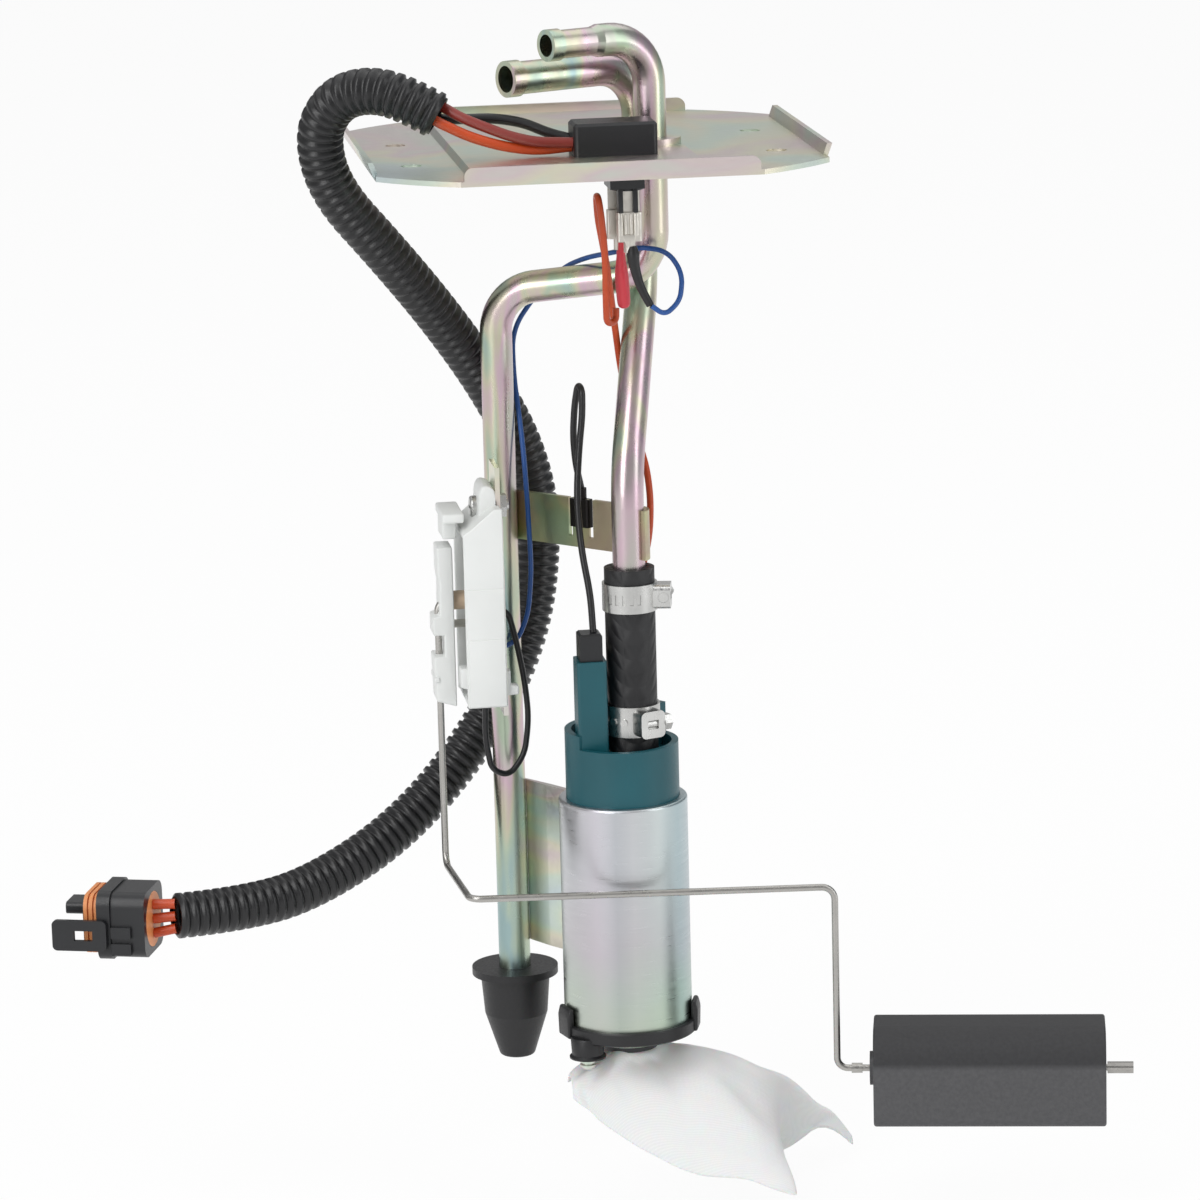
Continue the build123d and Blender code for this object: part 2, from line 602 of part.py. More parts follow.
# ---- Strap: a sheet that hugs the backs of both pipes, with a notch and a ground tongue ----
strap_run = Vector(HOSE_X - STAND_X, HOSE_Y - STAND_Y, 0)
strap_span = strap_run.length
strap_plane = Plane(
    origin=(STAND_X, STAND_Y, STRAP_TOP_Z - STRAP_HEIGHT), x_dir=strap_run, z_dir=(0, 0, 1)
)
STRAP_INNER = PIPE_RADIUS + FIT_GAP
STRAP_OUTER = STRAP_INNER + STRAP_SHEET
with BuildPart() as tube_strap:
    with BuildSketch(strap_plane):
        with BuildLine():
            CenterArc((0, 0), STRAP_OUTER, 180, -90)
            Line((0, STRAP_OUTER), (strap_span, STRAP_OUTER))
            CenterArc((strap_span, 0), STRAP_OUTER, 90, -90)
            Line((strap_span + STRAP_OUTER, 0), (strap_span + STRAP_INNER, 0))
            CenterArc((strap_span, 0), STRAP_INNER, 0, 90)
            Line((strap_span, STRAP_INNER), (0, STRAP_INNER))
            CenterArc((0, 0), STRAP_INNER, 90, 90)
            Line((-STRAP_INNER, 0), (-STRAP_OUTER, 0))
        make_face()
    extrude(amount=STRAP_HEIGHT)
    with BuildSketch(strap_plane.offset(STRAP_HEIGHT)):
        for edge in (-1, 1):
            slot_width = (NOTCH_WIDTH - TONGUE_WIDTH) / 2
            with Locations((TONGUE_PLACE + edge * (TONGUE_WIDTH + slot_width) / 2,
                            (STRAP_INNER + STRAP_OUTER) / 2)):
                Rectangle(slot_width, 2 * STRAP_SHEET)
    extrude(amount=-NOTCH_DEPTH, mode=Mode.SUBTRACT)
    with BuildSketch(strap_plane.offset(STRAP_HEIGHT)):
        with Locations((TONGUE_PLACE, STRAP_INNER + STRAP_SHEET)):
            Rectangle(TONGUE_WIDTH, STRAP_SHEET)
    extrude(amount=-NOTCH_DEPTH, mode=Mode.SUBTRACT)
tube_strap.part.label = "tube_strap"
export_step(tube_strap.part, "parts/tube_strap.step")

# ---- Ground terminal: a female terminal pushed down over the strap's tongue ----
tongue_plane = Plane(
    origin=strap_plane.from_local_coords(
        (TONGUE_PLACE, STRAP_INNER + STRAP_SHEET / 4, STRAP_HEIGHT - TERMINAL_LENGTH)),
    x_dir=strap_run, z_dir=(0, 0, 1),
)
with BuildPart() as ground_terminal:
    with BuildSketch(tongue_plane):
        RectangleRounded(TERMINAL_WIDTH, TERMINAL_DEPTH, 0.8)
    extrude(amount=TERMINAL_LENGTH)
    with BuildSketch(tongue_plane.offset(TERMINAL_LENGTH)):
        Circle(BARREL_RADIUS)
    extrude(amount=BARREL_LENGTH)
    with BuildSketch(tongue_plane):
        Rectangle(TONGUE_WIDTH + FIT_GAP, STRAP_SHEET / 2 + FIT_GAP)
    extrude(amount=TERMINAL_LENGTH, mode=Mode.SUBTRACT)
ground_terminal.part.label = "ground_terminal"
export_step(ground_terminal.part, "parts/ground_terminal.step")

# ---- Fuel hose: the flexible link from the feed pipe to the pump's outlet ----
with BuildPart() as fuel_hose:
    with BuildSketch(Plane.XY.offset(HOSE_BOTTOM_Z)):
        with Locations((HOSE_X, HOSE_Y)):
            Circle(HOSE_RADIUS)
            Circle(PIPE_RADIUS + FIT_GAP, mode=Mode.SUBTRACT)
    extrude(amount=HOSE_TOP_Z - HOSE_BOTTOM_Z)
fuel_hose.part.label = "fuel_hose"
export_step(fuel_hose.part, "parts/fuel_hose.step")


def band_plane(level, angle, out):
    """The plane tangent to a clamp band at an angle, at a distance out from the hose's axis."""
    return Plane(
        origin=along((HOSE_X, HOSE_Y), angle, out, level),
        x_dir=(0, 0, 1), z_dir=along((0, 0), angle, 1, 0),
    )


def clamp_band(label, level, height, lug_angle, slots, dimples):
    """A steel band round the hose, with a folded box that holds its screw behind a window."""
    band_outer = HOSE_RADIUS + CLAMP_BAND
    box_plane = band_plane(level, lug_angle, band_outer - 1.4)
    with BuildPart() as band:
        with BuildSketch(Plane.XY.offset(level - height / 2)):
            with Locations((HOSE_X, HOSE_Y)):
                Circle(band_outer)
        extrude(amount=height)
        with BuildSketch(box_plane):
            RectangleRounded(height - 1, CLAMP_BOX_WIDTH, 1.6)
        extrude(amount=CLAMP_BOX_DEPTH)
        with BuildSketch(box_plane.offset(CLAMP_BOX_DEPTH)):
            Rectangle(CLAMP_WINDOW_HEIGHT, CLAMP_WINDOW_WIDTH)
        extrude(amount=-0.9, mode=Mode.SUBTRACT)
        for angle in slots:
            with BuildSketch(band_plane(level, angle, band_outer)):
                Rectangle(CLAMP_SLOT_HEIGHT, CLAMP_SLOT_WIDTH)
            extrude(amount=-CLAMP_BAND / 2, mode=Mode.SUBTRACT)
        for angle in dimples:
            with BuildSketch(band_plane(level, angle, band_outer - 0.3)):
                Circle(DIMPLE_RADIUS)
            extrude(amount=0.7)
        with BuildSketch(Plane.XY.offset(level - height / 2)):
            with Locations((HOSE_X, HOSE_Y)):
                Circle(HOSE_RADIUS + FIT_GAP)
        extrude(amount=height, mode=Mode.SUBTRACT)
        with BuildSketch(clamp_screw_plane(level, lug_angle)):
            Circle(CLAMP_SCREW_RADIUS + FIT_GAP)
        extrude(amount=10, both=True, mode=Mode.SUBTRACT)
    band.part.label = label
    export_step(band.part, f"parts/{label}.step")


def clamp_screw_plane(level, lug_angle):
    """The plane across a clamp's screw, which runs tangent to the band."""
    place = along((HOSE_X, HOSE_Y), lug_angle, HOSE_RADIUS + CLAMP_BAND + 2.0, level)
    return Plane(origin=place, z_dir=along((0, 0), lug_angle + 90, 1, 0))


def clamp_screw(label, level, lug_angle):
    """The worm screw that tightens a clamp, with a hexagon head."""
    with BuildPart() as screw:
        with BuildSketch(clamp_screw_plane(level, lug_angle).offset(-CLAMP_BOX_WIDTH / 2)):
            Circle(CLAMP_SCREW_RADIUS)
        extrude(amount=CLAMP_BOX_WIDTH)
        with BuildSketch(clamp_screw_plane(level, lug_angle).offset(CLAMP_BOX_WIDTH / 2)):
            RegularPolygon(2.2, 6, major_radius=False)
        extrude(amount=2.4)
        with BuildSketch(clamp_screw_plane(level, lug_angle).offset(CLAMP_BOX_WIDTH / 2 + 2.4)):
            Rectangle(4.6, 0.8)
        extrude(amount=-1, mode=Mode.SUBTRACT)
    screw.part.label = label
    export_step(screw.part, f"parts/{label}.step")


clamp_band("upper_clamp_band", UPPER_CLAMP_Z, UPPER_CLAMP_HEIGHT, UPPER_LUG_ANGLE,
           slots=UPPER_CLAMP_SLOTS, dimples=())
clamp_screw("upper_clamp_screw", UPPER_CLAMP_Z, UPPER_LUG_ANGLE)
clamp_band("lower_clamp_band", LOWER_CLAMP_Z, LOWER_CLAMP_HEIGHT, LOWER_LUG_ANGLE,
           slots=(), dimples=LOWER_CLAMP_DIMPLES)
clamp_screw("lower_clamp_screw", LOWER_CLAMP_Z, LOWER_LUG_ANGLE)

# ---- Pump cap: outlet nipple, check valve seat, connector tower and brush bores ----
pump_axis = Axis((PUMP_X, PUMP_Y, 0), (0, 0, 1))
CAP_FLOOR_Z = HOSE_BOTTOM_Z - 1
VALVE_SEAT_Z = -168
VALVE_TOP_Z = -160
with BuildPart() as pump_cap:
    with BuildSketch(Plane.XY.offset(CAP_BASE_Z)):
        with Locations((PUMP_X, PUMP_Y)):
            Circle(CAN_RADIUS - CAN_WALL - FIT_GAP)
    extrude(amount=CAN_TOP_Z - CAN_WALL - CAP_BASE_Z)
    with BuildSketch(Plane.XY.offset(CAP_BASE_Z)):
        with Locations((PUMP_X, PUMP_Y)):
            Circle(CAP_RADIUS)
    extrude(amount=CAP_TOP_Z - CAP_BASE_Z)
    with BuildSketch(Plane.XY.offset(CAP_TOP_Z)):
        with BuildLine():
            CenterArc((PUMP_X, PUMP_Y), CAP_RADIUS, CREST_START, CREST_ARC)
            Line(along((PUMP_X, PUMP_Y), CREST_START + CREST_ARC, CAP_RADIUS, 0)[:2],
                 (PUMP_X, PUMP_Y))
            Line((PUMP_X, PUMP_Y), along((PUMP_X, PUMP_Y), CREST_START, CAP_RADIUS, 0)[:2])
        make_face()
    extrude(amount=CAP_CREST_Z - CAP_TOP_Z)
    with BuildSketch(Plane.XY.offset(CAP_CREST_Z)):
        with Locations((PUMP_X, PUMP_Y)):
            Circle(CAP_RADIUS - CAP_RIM)
    extrude(amount=CAP_FLOOR_Z - CAP_CREST_Z, mode=Mode.SUBTRACT)
    with BuildSketch(Plane.XY.offset(CAP_FLOOR_Z)):
        with Locations((HOSE_X, HOSE_Y)):
            Circle(PIPE_RADIUS)
        with Locations((TOWER_X, TOWER_Y)):
            RectangleRounded(TOWER_WIDTH, TOWER_DEPTH, 1)
    extrude(amount=OUTLET_TOP_Z - CAP_FLOOR_Z)
    with BuildSketch(Plane.XY.offset(OUTLET_TOP_Z)):
        with Locations((TOWER_X, TOWER_Y)):
            RectangleRounded(TOWER_WIDTH, TOWER_DEPTH, 1)
    extrude(amount=TOWER_TOP_Z - OUTLET_TOP_Z)
    with BuildSketch(Plane.XY.offset(TOWER_TOP_Z)):
        with Locations((TOWER_X, TOWER_Y)):
            Rectangle(TOWER_WIDTH - 2 * TOWER_WALL, TOWER_DEPTH - 2 * TOWER_WALL)
    extrude(amount=-SOCKET_DEPTH, mode=Mode.SUBTRACT)
    lug_place = along((PUMP_X, PUMP_Y), LUG_ANGLE, LUG_RADIUS, CAP_FLOOR_Z)
    with BuildSketch(Plane(origin=lug_place, x_dir=along((0, 0), LUG_ANGLE, 1, 0),
                           z_dir=(0, 0, 1))):
        Rectangle(3.6, 6)
    extrude(amount=LUG_TOP_Z - CAP_FLOOR_Z)
    with BuildSketch(Plane.XY.offset(OUTLET_TOP_Z)):
        with Locations((HOSE_X, HOSE_Y)):
            Circle(VALVE_RADIUS + 1)
    extrude(amount=VALVE_SEAT_Z - OUTLET_TOP_Z, mode=Mode.SUBTRACT)
    with BuildSketch(Plane.XY.offset(VALVE_SEAT_Z)):
        with Locations((HOSE_X, HOSE_Y)):
            Circle(1.5)
    extrude(amount=CAP_BASE_Z - VALVE_SEAT_Z, mode=Mode.SUBTRACT)
    with BuildSketch(Plane.XY.offset(CAP_BASE_Z)):
        with Locations((PUMP_X, PUMP_Y - BRUSH_PLACE), (PUMP_X, PUMP_Y + BRUSH_PLACE)):
            Circle(BRUSH_RADIUS + BORE_GAP)
    extrude(amount=BRUSH_BORE_DEPTH, mode=Mode.SUBTRACT)
    with BuildSketch(Plane.XY.offset(CAP_BASE_Z)):
        with Locations((PUMP_X, PUMP_Y)):
            Circle(SHAFT_RADIUS + BORE_GAP)
    extrude(amount=5, mode=Mode.SUBTRACT)
pump_cap.part.label = "pump_cap"
export_step(pump_cap.part, "parts/pump_cap.step")

# ---- Check valve: a mushroom in the outlet that lifts off its seat, and its spring ----
with BuildPart() as check_valve:
    with BuildSketch(Plane.XZ.offset(-HOSE_Y)):
        with BuildLine():
            Polyline(
                (HOSE_X, VALVE_SEAT_Z + SEAT_GAP),
                (HOSE_X + VALVE_RADIUS, VALVE_SEAT_Z + SEAT_GAP),
                (HOSE_X + VALVE_RADIUS, VALVE_SEAT_Z + 1.2),
                (HOSE_X + 0.9, VALVE_SEAT_Z + 2.4),
                (HOSE_X + 0.9, VALVE_SEAT_Z + 5),
                (HOSE_X, VALVE_SEAT_Z + 5),
                close=True,
            )
        make_face()
    revolve(axis=Axis((HOSE_X, HOSE_Y, 0), (0, 0, 1)))
check_valve.part.label = "check_valve"
export_step(check_valve.part, "parts/check_valve.step")

with BuildPart() as valve_spring:
    with BuildLine() as coil:
        Helix(pitch=2, height=6, radius=1.9,
              center=(HOSE_X, HOSE_Y, VALVE_SEAT_Z + 2.4 + VALVE_LIFT))
    with BuildSketch(Plane(origin=coil.line @ 0, z_dir=coil.line % 0)):
        Rectangle(0.5, 0.5)
    sweep(is_frenet=True)
valve_spring.part.label = "valve_spring"
export_step(valve_spring.part, "parts/valve_spring.step")

# ---- Pump plug: the lead's housing in the cap's tower ----
with BuildPart() as pump_plug:
    with BuildSketch(Plane.XY.offset(TOWER_TOP_Z - SOCKET_DEPTH)):
        with Locations((TOWER_X, TOWER_Y)):
            Rectangle(TOWER_WIDTH - 2 * TOWER_WALL - 2 * FIT_GAP,
                      TOWER_DEPTH - 2 * TOWER_WALL - 2 * FIT_GAP)
    extrude(amount=PLUG_TOP_Z - TOWER_TOP_Z + SOCKET_DEPTH)
    chamfer(edges().group_by(Axis.Z)[-1], length=0.6)
pump_plug.part.label = "pump_plug"
export_step(pump_plug.part, "parts/pump_plug.step")

# ---- Pump can: a drawn sleeve rolled in over the cap's shoulder and the inlet plate ----
with BuildPart() as pump_can:
    with BuildSketch(Plane.XZ.offset(-PUMP_Y)):
        with BuildLine():
            Polyline(
                (PUMP_X + CAP_RADIUS + BORE_GAP, CAN_TOP_Z),
                (PUMP_X + CAN_RADIUS, CAN_TOP_Z),
                (PUMP_X + CAN_RADIUS, CAN_BOTTOM_Z),
                (PUMP_X + CAN_RADIUS - CAN_WALL - CAN_LIP, CAN_BOTTOM_Z),
                (PUMP_X + CAN_RADIUS - CAN_WALL - CAN_LIP, CAN_BOTTOM_Z + CAN_WALL),
                (PUMP_X + CAN_RADIUS - CAN_WALL, CAN_BOTTOM_Z + CAN_WALL),
                (PUMP_X + CAN_RADIUS - CAN_WALL, CAN_TOP_Z - CAN_WALL),
                (PUMP_X + CAP_RADIUS + BORE_GAP, CAN_TOP_Z - CAN_WALL),
                close=True,
            )
        make_face()
    revolve(axis=pump_axis)
    can_corners = edges().filter_by(GeomType.CIRCLE).filter_by(
        lambda e: abs(e.radius - CAN_RADIUS) < 0.01)
    fillet(can_corners, radius=0.8)
pump_can.part.label = "pump_can"
export_step(pump_can.part, "parts/pump_can.step")

# ---- Motor: two magnets in the can, a slotted armature, brushes and their springs ----
with BuildPart() as pump_magnets:
    with BuildSketch(Plane.XY.offset(CORE_BOTTOM_Z)):
        for middle in MAGNET_MIDDLES:
            with BuildLine():
                start = middle - MAGNET_ARC / 2
                outer = CAN_RADIUS - CAN_WALL - FIT_GAP
                arc_out = CenterArc((PUMP_X, PUMP_Y), outer, start, MAGNET_ARC)
                arc_in = CenterArc((PUMP_X, PUMP_Y), MAGNET_INNER_RADIUS, start, MAGNET_ARC)
                Line(arc_out @ 0, arc_in @ 0)
                Line(arc_out @ 1, arc_in @ 1)
            make_face()
    extrude(amount=CORE_TOP_Z - CORE_BOTTOM_Z)
pump_magnets.part.label = "pump_magnets"
export_step(pump_magnets.part, "parts/pump_magnets.step")

COMMUTATOR_TOP_Z = CAP_BASE_Z - 2
with BuildPart() as pump_armature:
    with BuildSketch(Plane.XY.offset(CORE_BOTTOM_Z)):
        with Locations((PUMP_X, PUMP_Y)):
            Circle(CORE_RADIUS)
            with PolarLocations(CORE_RADIUS, CORE_SLOTS):
                Rectangle(2 * CORE_SLOT_DEPTH, CORE_SLOT_WIDTH, mode=Mode.SUBTRACT)
    extrude(amount=CORE_TOP_Z - CORE_BOTTOM_Z)
    with BuildSketch(Plane.XY.offset(CORE_TOP_Z)):
        with Locations((PUMP_X, PUMP_Y)):
            Circle(5)
    extrude(amount=COMMUTATOR_TOP_Z - CORE_TOP_Z)
    with BuildSketch(Plane.XY.offset(COMMUTATOR_TOP_Z)):
        with Locations((PUMP_X, PUMP_Y)):
            Circle(COMMUTATOR_RADIUS)
    extrude(amount=-COMMUTATOR_THICKNESS)
    with BuildSketch(Plane.XY.offset(CAN_BOTTOM_Z + 3)):
        with Locations((PUMP_X, PUMP_Y)):
            Circle(SHAFT_RADIUS)
    extrude(amount=CAP_BASE_Z + 4.5 - CAN_BOTTOM_Z - 3)
pump_armature.part.label = "pump_armature"
export_step(pump_armature.part, "parts/pump_armature.step")

with BuildPart() as carbon_brushes:
    with BuildSketch(Plane.XY.offset(COMMUTATOR_TOP_Z + SEAT_GAP)):
        with Locations((PUMP_X, PUMP_Y - BRUSH_PLACE), (PUMP_X, PUMP_Y + BRUSH_PLACE)):
            Circle(BRUSH_RADIUS)
    extrude(amount=BRUSH_LENGTH)
carbon_brushes.part.label = "carbon_brushes"
export_step(carbon_brushes.part, "parts/carbon_brushes.step")

brush_top = COMMUTATOR_TOP_Z + SEAT_GAP + BRUSH_LENGTH
brush_spring_height = CAP_BASE_Z + BRUSH_BORE_DEPTH - brush_top - 1
with BuildPart() as brush_springs:
    for place in (-BRUSH_PLACE, BRUSH_PLACE):
        with BuildLine() as coil:
            Helix(pitch=2.2, height=brush_spring_height, radius=1.7,
                  center=(PUMP_X, PUMP_Y + place, brush_top + 0.5))
        with BuildSketch(Plane(origin=coil.line @ 0, z_dir=coil.line % 0)):
            Rectangle(0.5, 0.5)
        sweep(is_frenet=True)
brush_springs.part.label = "brush_springs"
export_step(brush_springs.part, "parts/brush_springs.step")

# ---- Pump stage: side-channel impeller between the chamber plate and the inlet plate ----
with BuildPart() as pump_impeller:
    with BuildSketch(Plane.XY.offset(IMPELLER_TOP_Z - IMPELLER_THICKNESS)):
        with Locations((PUMP_X, PUMP_Y)):
            Circle(IMPELLER_RADIUS)
            Circle(SHAFT_RADIUS + FIT_GAP, mode=Mode.SUBTRACT)
            with PolarLocations(IMPELLER_RADIUS - 0.6, IMPELLER_VANES):
                Rectangle(3.2, 1.5, mode=Mode.SUBTRACT)
    extrude(amount=IMPELLER_THICKNESS)
pump_impeller.part.label = "pump_impeller"
export_step(pump_impeller.part, "parts/pump_impeller.step")

CHAMBER_BOTTOM_Z = IMPELLER_TOP_Z - IMPELLER_THICKNESS - 2 * SIDE_GAP
with BuildPart() as pump_chamber:
    with BuildSketch(Plane.XY.offset(CHAMBER_BOTTOM_Z)):
        with Locations((PUMP_X, PUMP_Y)):
            Circle(CAN_RADIUS - CAN_WALL - FIT_GAP)
            Circle(SHAFT_RADIUS + BORE_GAP, mode=Mode.SUBTRACT)
    extrude(amount=IMPELLER_THICKNESS + 2 * SIDE_GAP + HOUSING_THICKNESS)
    with BuildSketch(Plane.XY.offset(CHAMBER_BOTTOM_Z)):
        with Locations((PUMP_X, PUMP_Y)):
            Circle(IMPELLER_RADIUS + 2 * SIDE_GAP)
    extrude(amount=IMPELLER_THICKNESS + 2 * SIDE_GAP, mode=Mode.SUBTRACT)
    with BuildSketch(Plane.XY.offset(CHAMBER_BOTTOM_Z)):
        with Locations((PUMP_X, PUMP_Y - IMPELLER_RADIUS + 2)):
            Circle(1.6)
    extrude(amount=IMPELLER_THICKNESS + 2 * SIDE_GAP + HOUSING_THICKNESS, mode=Mode.SUBTRACT)
pump_chamber.part.label = "pump_chamber"
export_step(pump_chamber.part, "parts/pump_chamber.step")

with BuildPart() as pump_inlet:
    with BuildSketch(Plane.XY.offset(CAN_BOTTOM_Z + CAN_WALL)):
        with Locations((PUMP_X, PUMP_Y)):
            Circle(CAN_RADIUS - CAN_WALL - FIT_GAP)
    extrude(amount=CHAMBER_BOTTOM_Z - CAN_BOTTOM_Z - CAN_WALL)
    with BuildSketch(Plane.XY.offset(CAN_BOTTOM_Z + CAN_WALL)):
        with Locations((PUMP_X, PUMP_Y)):
            Circle(FERRULE_RADIUS - 2)
    extrude(amount=FERRULE_BOTTOM_Z + 2 - CAN_BOTTOM_Z - CAN_WALL)
    with BuildSketch(Plane.XY.offset(FERRULE_BOTTOM_Z + 2)):
        with Locations((PUMP_X, PUMP_Y)):
            Circle(INLET_RADIUS)
    extrude(amount=5, mode=Mode.SUBTRACT)
    with BuildSketch(Plane.XY.offset(CHAMBER_BOTTOM_Z)):
        with Locations((PUMP_X, PUMP_Y)):
            Circle(SHAFT_RADIUS + BORE_GAP)
        with Locations((PUMP_X + 3.4, PUMP_Y)):
            Circle(1.4)
    extrude(amount=CAN_BOTTOM_Z - CHAMBER_BOTTOM_Z, mode=Mode.SUBTRACT)
pump_inlet.part.label = "pump_inlet"
export_step(pump_inlet.part, "parts/pump_inlet.step")

# ---- Isolator: a rubber cup with lobes round the can's foot and an ear for its stud ----
ear_place = along((PUMP_X, PUMP_Y), EAR_ANGLE, EAR_REACH, 0)[:2]
with BuildPart() as pump_isolator:
    with BuildSketch(Plane.XY.offset(ISOLATOR_BOTTOM_Z)):
        with Locations((PUMP_X, PUMP_Y)):
            Circle(ISOLATOR_RADIUS)
    extrude(amount=ISOLATOR_TOP_Z - ISOLATOR_BOTTOM_Z)
    with BuildSketch(Plane.XY.offset(ISOLATOR_BOTTOM_Z)):
        for angle in LOBE_ANGLES:
            lobe = along((PUMP_X, PUMP_Y), angle, ISOLATOR_RADIUS - 1.2, 0)[:2]
            with Locations(lobe):
                RectangleRounded(3.6, 9, 1.2, rotation=angle)
    extrude(amount=LOBE_TOP_Z - ISOLATOR_BOTTOM_Z)
    with BuildSketch(Plane.XY.offset(EAR_BOTTOM_Z)):
        with Locations(ear_place):
            Circle(EAR_RADIUS)
    extrude(amount=ISOLATOR_TOP_Z - EAR_BOTTOM_Z)
    with BuildSketch(Plane.XY.offset(CAN_BOTTOM_Z)):
        with Locations((PUMP_X, PUMP_Y)):
            Circle(CAN_RADIUS + FIT_GAP)
    extrude(amount=LOBE_TOP_Z - CAN_BOTTOM_Z, mode=Mode.SUBTRACT)
    with BuildSketch(Plane.XY.offset(EAR_BOTTOM_Z)):
        with Locations((PUMP_X, PUMP_Y)):
            Circle(FERRULE_RADIUS + 2)
    extrude(amount=LOBE_TOP_Z - EAR_BOTTOM_Z, mode=Mode.SUBTRACT)
    with BuildSketch(Plane.XY.offset(EAR_BOTTOM_Z)):
        with Locations(ear_place):
            Circle(1.6 + FIT_GAP)
    extrude(amount=5, mode=Mode.SUBTRACT)
pump_isolator.part.label = "pump_isolator"
export_step(pump_isolator.part, "parts/pump_isolator.step")

with BuildPart() as isolator_stud:
    with BuildSketch(Plane.XY.offset(PIN_BOTTOM_Z)):
        with Locations(ear_place):
            Circle(1.6)
    extrude(amount=EAR_BOTTOM_Z + 5 - PIN_BOTTOM_Z)
    for level in (PIN_BOTTOM_Z + 0.6, PIN_BOTTOM_Z + 2):
        with BuildSketch(Plane.XY.offset(level)):
            with Locations(ear_place):
                Circle(2.4)
        extrude(amount=0.7)
isolator_stud.part.label = "isolator_stud"
export_step(isolator_stud.part, "parts/isolator_stud.step")

# ---- Strainer: a moulded ferrule on the inlet spigot, and the soft sock that hangs from it ----
with BuildPart() as strainer_ferrule:
    with BuildSketch(Plane.XY.offset(FERRULE_BOTTOM_Z)):
        with Locations((PUMP_X, PUMP_Y)):
            Circle(FERRULE_RADIUS)
            Circle(INLET_RADIUS, mode=Mode.SUBTRACT)
    extrude(amount=2)
    with BuildSketch(Plane.XY.offset(FERRULE_BOTTOM_Z + 2)):
        with Locations((PUMP_X, PUMP_Y)):
            Circle(FERRULE_RADIUS)
            Circle(FERRULE_RADIUS - 2 + FIT_GAP, mode=Mode.SUBTRACT)
    extrude(amount=CAN_BOTTOM_Z - FERRULE_BOTTOM_Z - 2 - FIT_GAP)
strainer_ferrule.part.label = "strainer_ferrule"
export_step(strainer_ferrule.part, "parts/strainer_ferrule.step")

with BuildPart() as strainer_sock:
    for place in SOCK_SECTIONS:
        x = place[0]
        upper = [(y, FERRULE_BOTTOM_Z - drop) for y, drop in place[1:]]
        lower = [(y, z - SOCK_THICKNESS) for y, z in reversed(upper)]
        with BuildSketch(Plane(origin=(x, 0, 0), x_dir=(0, 1, 0), z_dir=(1, 0, 0))):
            with BuildLine():
                Polyline(*upper, *lower, close=True)
            make_face()
    loft(ruled=True)
strainer_sock.part.label = "strainer_sock"
export_step(strainer_sock.part, "parts/strainer_sock.step")

# ---- Cradle: a bent sheet from the standpipe round the back of the can ----
cradle_inner = CAN_RADIUS + BORE_GAP
cradle_outer = cradle_inner + CRADLE_SHEET
turn_start = CRADLE_START - math.degrees(CRADLE_SHEET / cradle_outer)
stand_front = along((STAND_X, STAND_Y), -8, PIPE_RADIUS + 3 * FIT_GAP, 0)[:2]
stand_back = along((STAND_X, STAND_Y), 12, PIPE_RADIUS + 3 * FIT_GAP, 0)[:2]
crease_back = (CRADLE_CREASE[0] + 1.6, CRADLE_CREASE[1] + 1.0)
with BuildPart() as pump_cradle:
    with BuildSketch(Plane.XY.offset(CRADLE_TOP_Z - CRADLE_HEIGHT)):
        with BuildLine():
            inner_arc = CenterArc((PUMP_X, PUMP_Y), cradle_inner, CRADLE_START,
                                  CRADLE_END - CRADLE_START)
            outer_arc = CenterArc((PUMP_X, PUMP_Y), cradle_outer, turn_start,
                                  CRADLE_END - turn_start)
            Line(inner_arc @ 1, outer_arc @ 1)
            Line(inner_arc @ 0, CRADLE_CREASE)
            Line(CRADLE_CREASE, stand_front)
            Line(stand_front, stand_back)
            Line(stand_back, crease_back)
            Line(crease_back, outer_arc @ 0)
        make_face()
    extrude(amount=CRADLE_HEIGHT)
pump_cradle.part.label = "pump_cradle"
export_step(pump_cradle.part, "parts/pump_cradle.step")

# ---- Sender plate: the flat sheet welded to the standpipe that carries the level sender ----
side = SENDER_PLATE_X - STAND_X
plate_back = STAND_Y - math.sqrt(PIPE_RADIUS**2 - side**2)
plate_front = SENDER_Y - CASE_WIDTH / 2 + 1
with BuildPart() as sender_plate:
    with BuildSketch(Plane.YZ.offset(SENDER_PLATE_X - SENDER_PLATE_SHEET)):
        with Locations(((plate_back + plate_front) / 2, (CASE_TOP_Z + SENDER_PLATE_BOTTOM_Z) / 2)):
            Rectangle(plate_back - plate_front, CASE_TOP_Z - SENDER_PLATE_BOTTOM_Z)
        with Locations((SENDER_Y, (SENDER_PLATE_TOP_Z + CASE_TOP_Z) / 2)):
            Rectangle(LUG_WIDTH, SENDER_PLATE_TOP_Z - CASE_TOP_Z)
        with Locations((SENDER_Y, SCREW_Z)):
            Circle(SCREW_RADIUS + BORE_GAP, mode=Mode.SUBTRACT)
        with Locations((SENDER_Y, CLIP_Z)):
            Rectangle(4.2, 5.2, mode=Mode.SUBTRACT)
    extrude(amount=SENDER_PLATE_SHEET)
sender_plate.part.label = "sender_plate"
export_step(sender_plate.part, "parts/sender_plate.step")

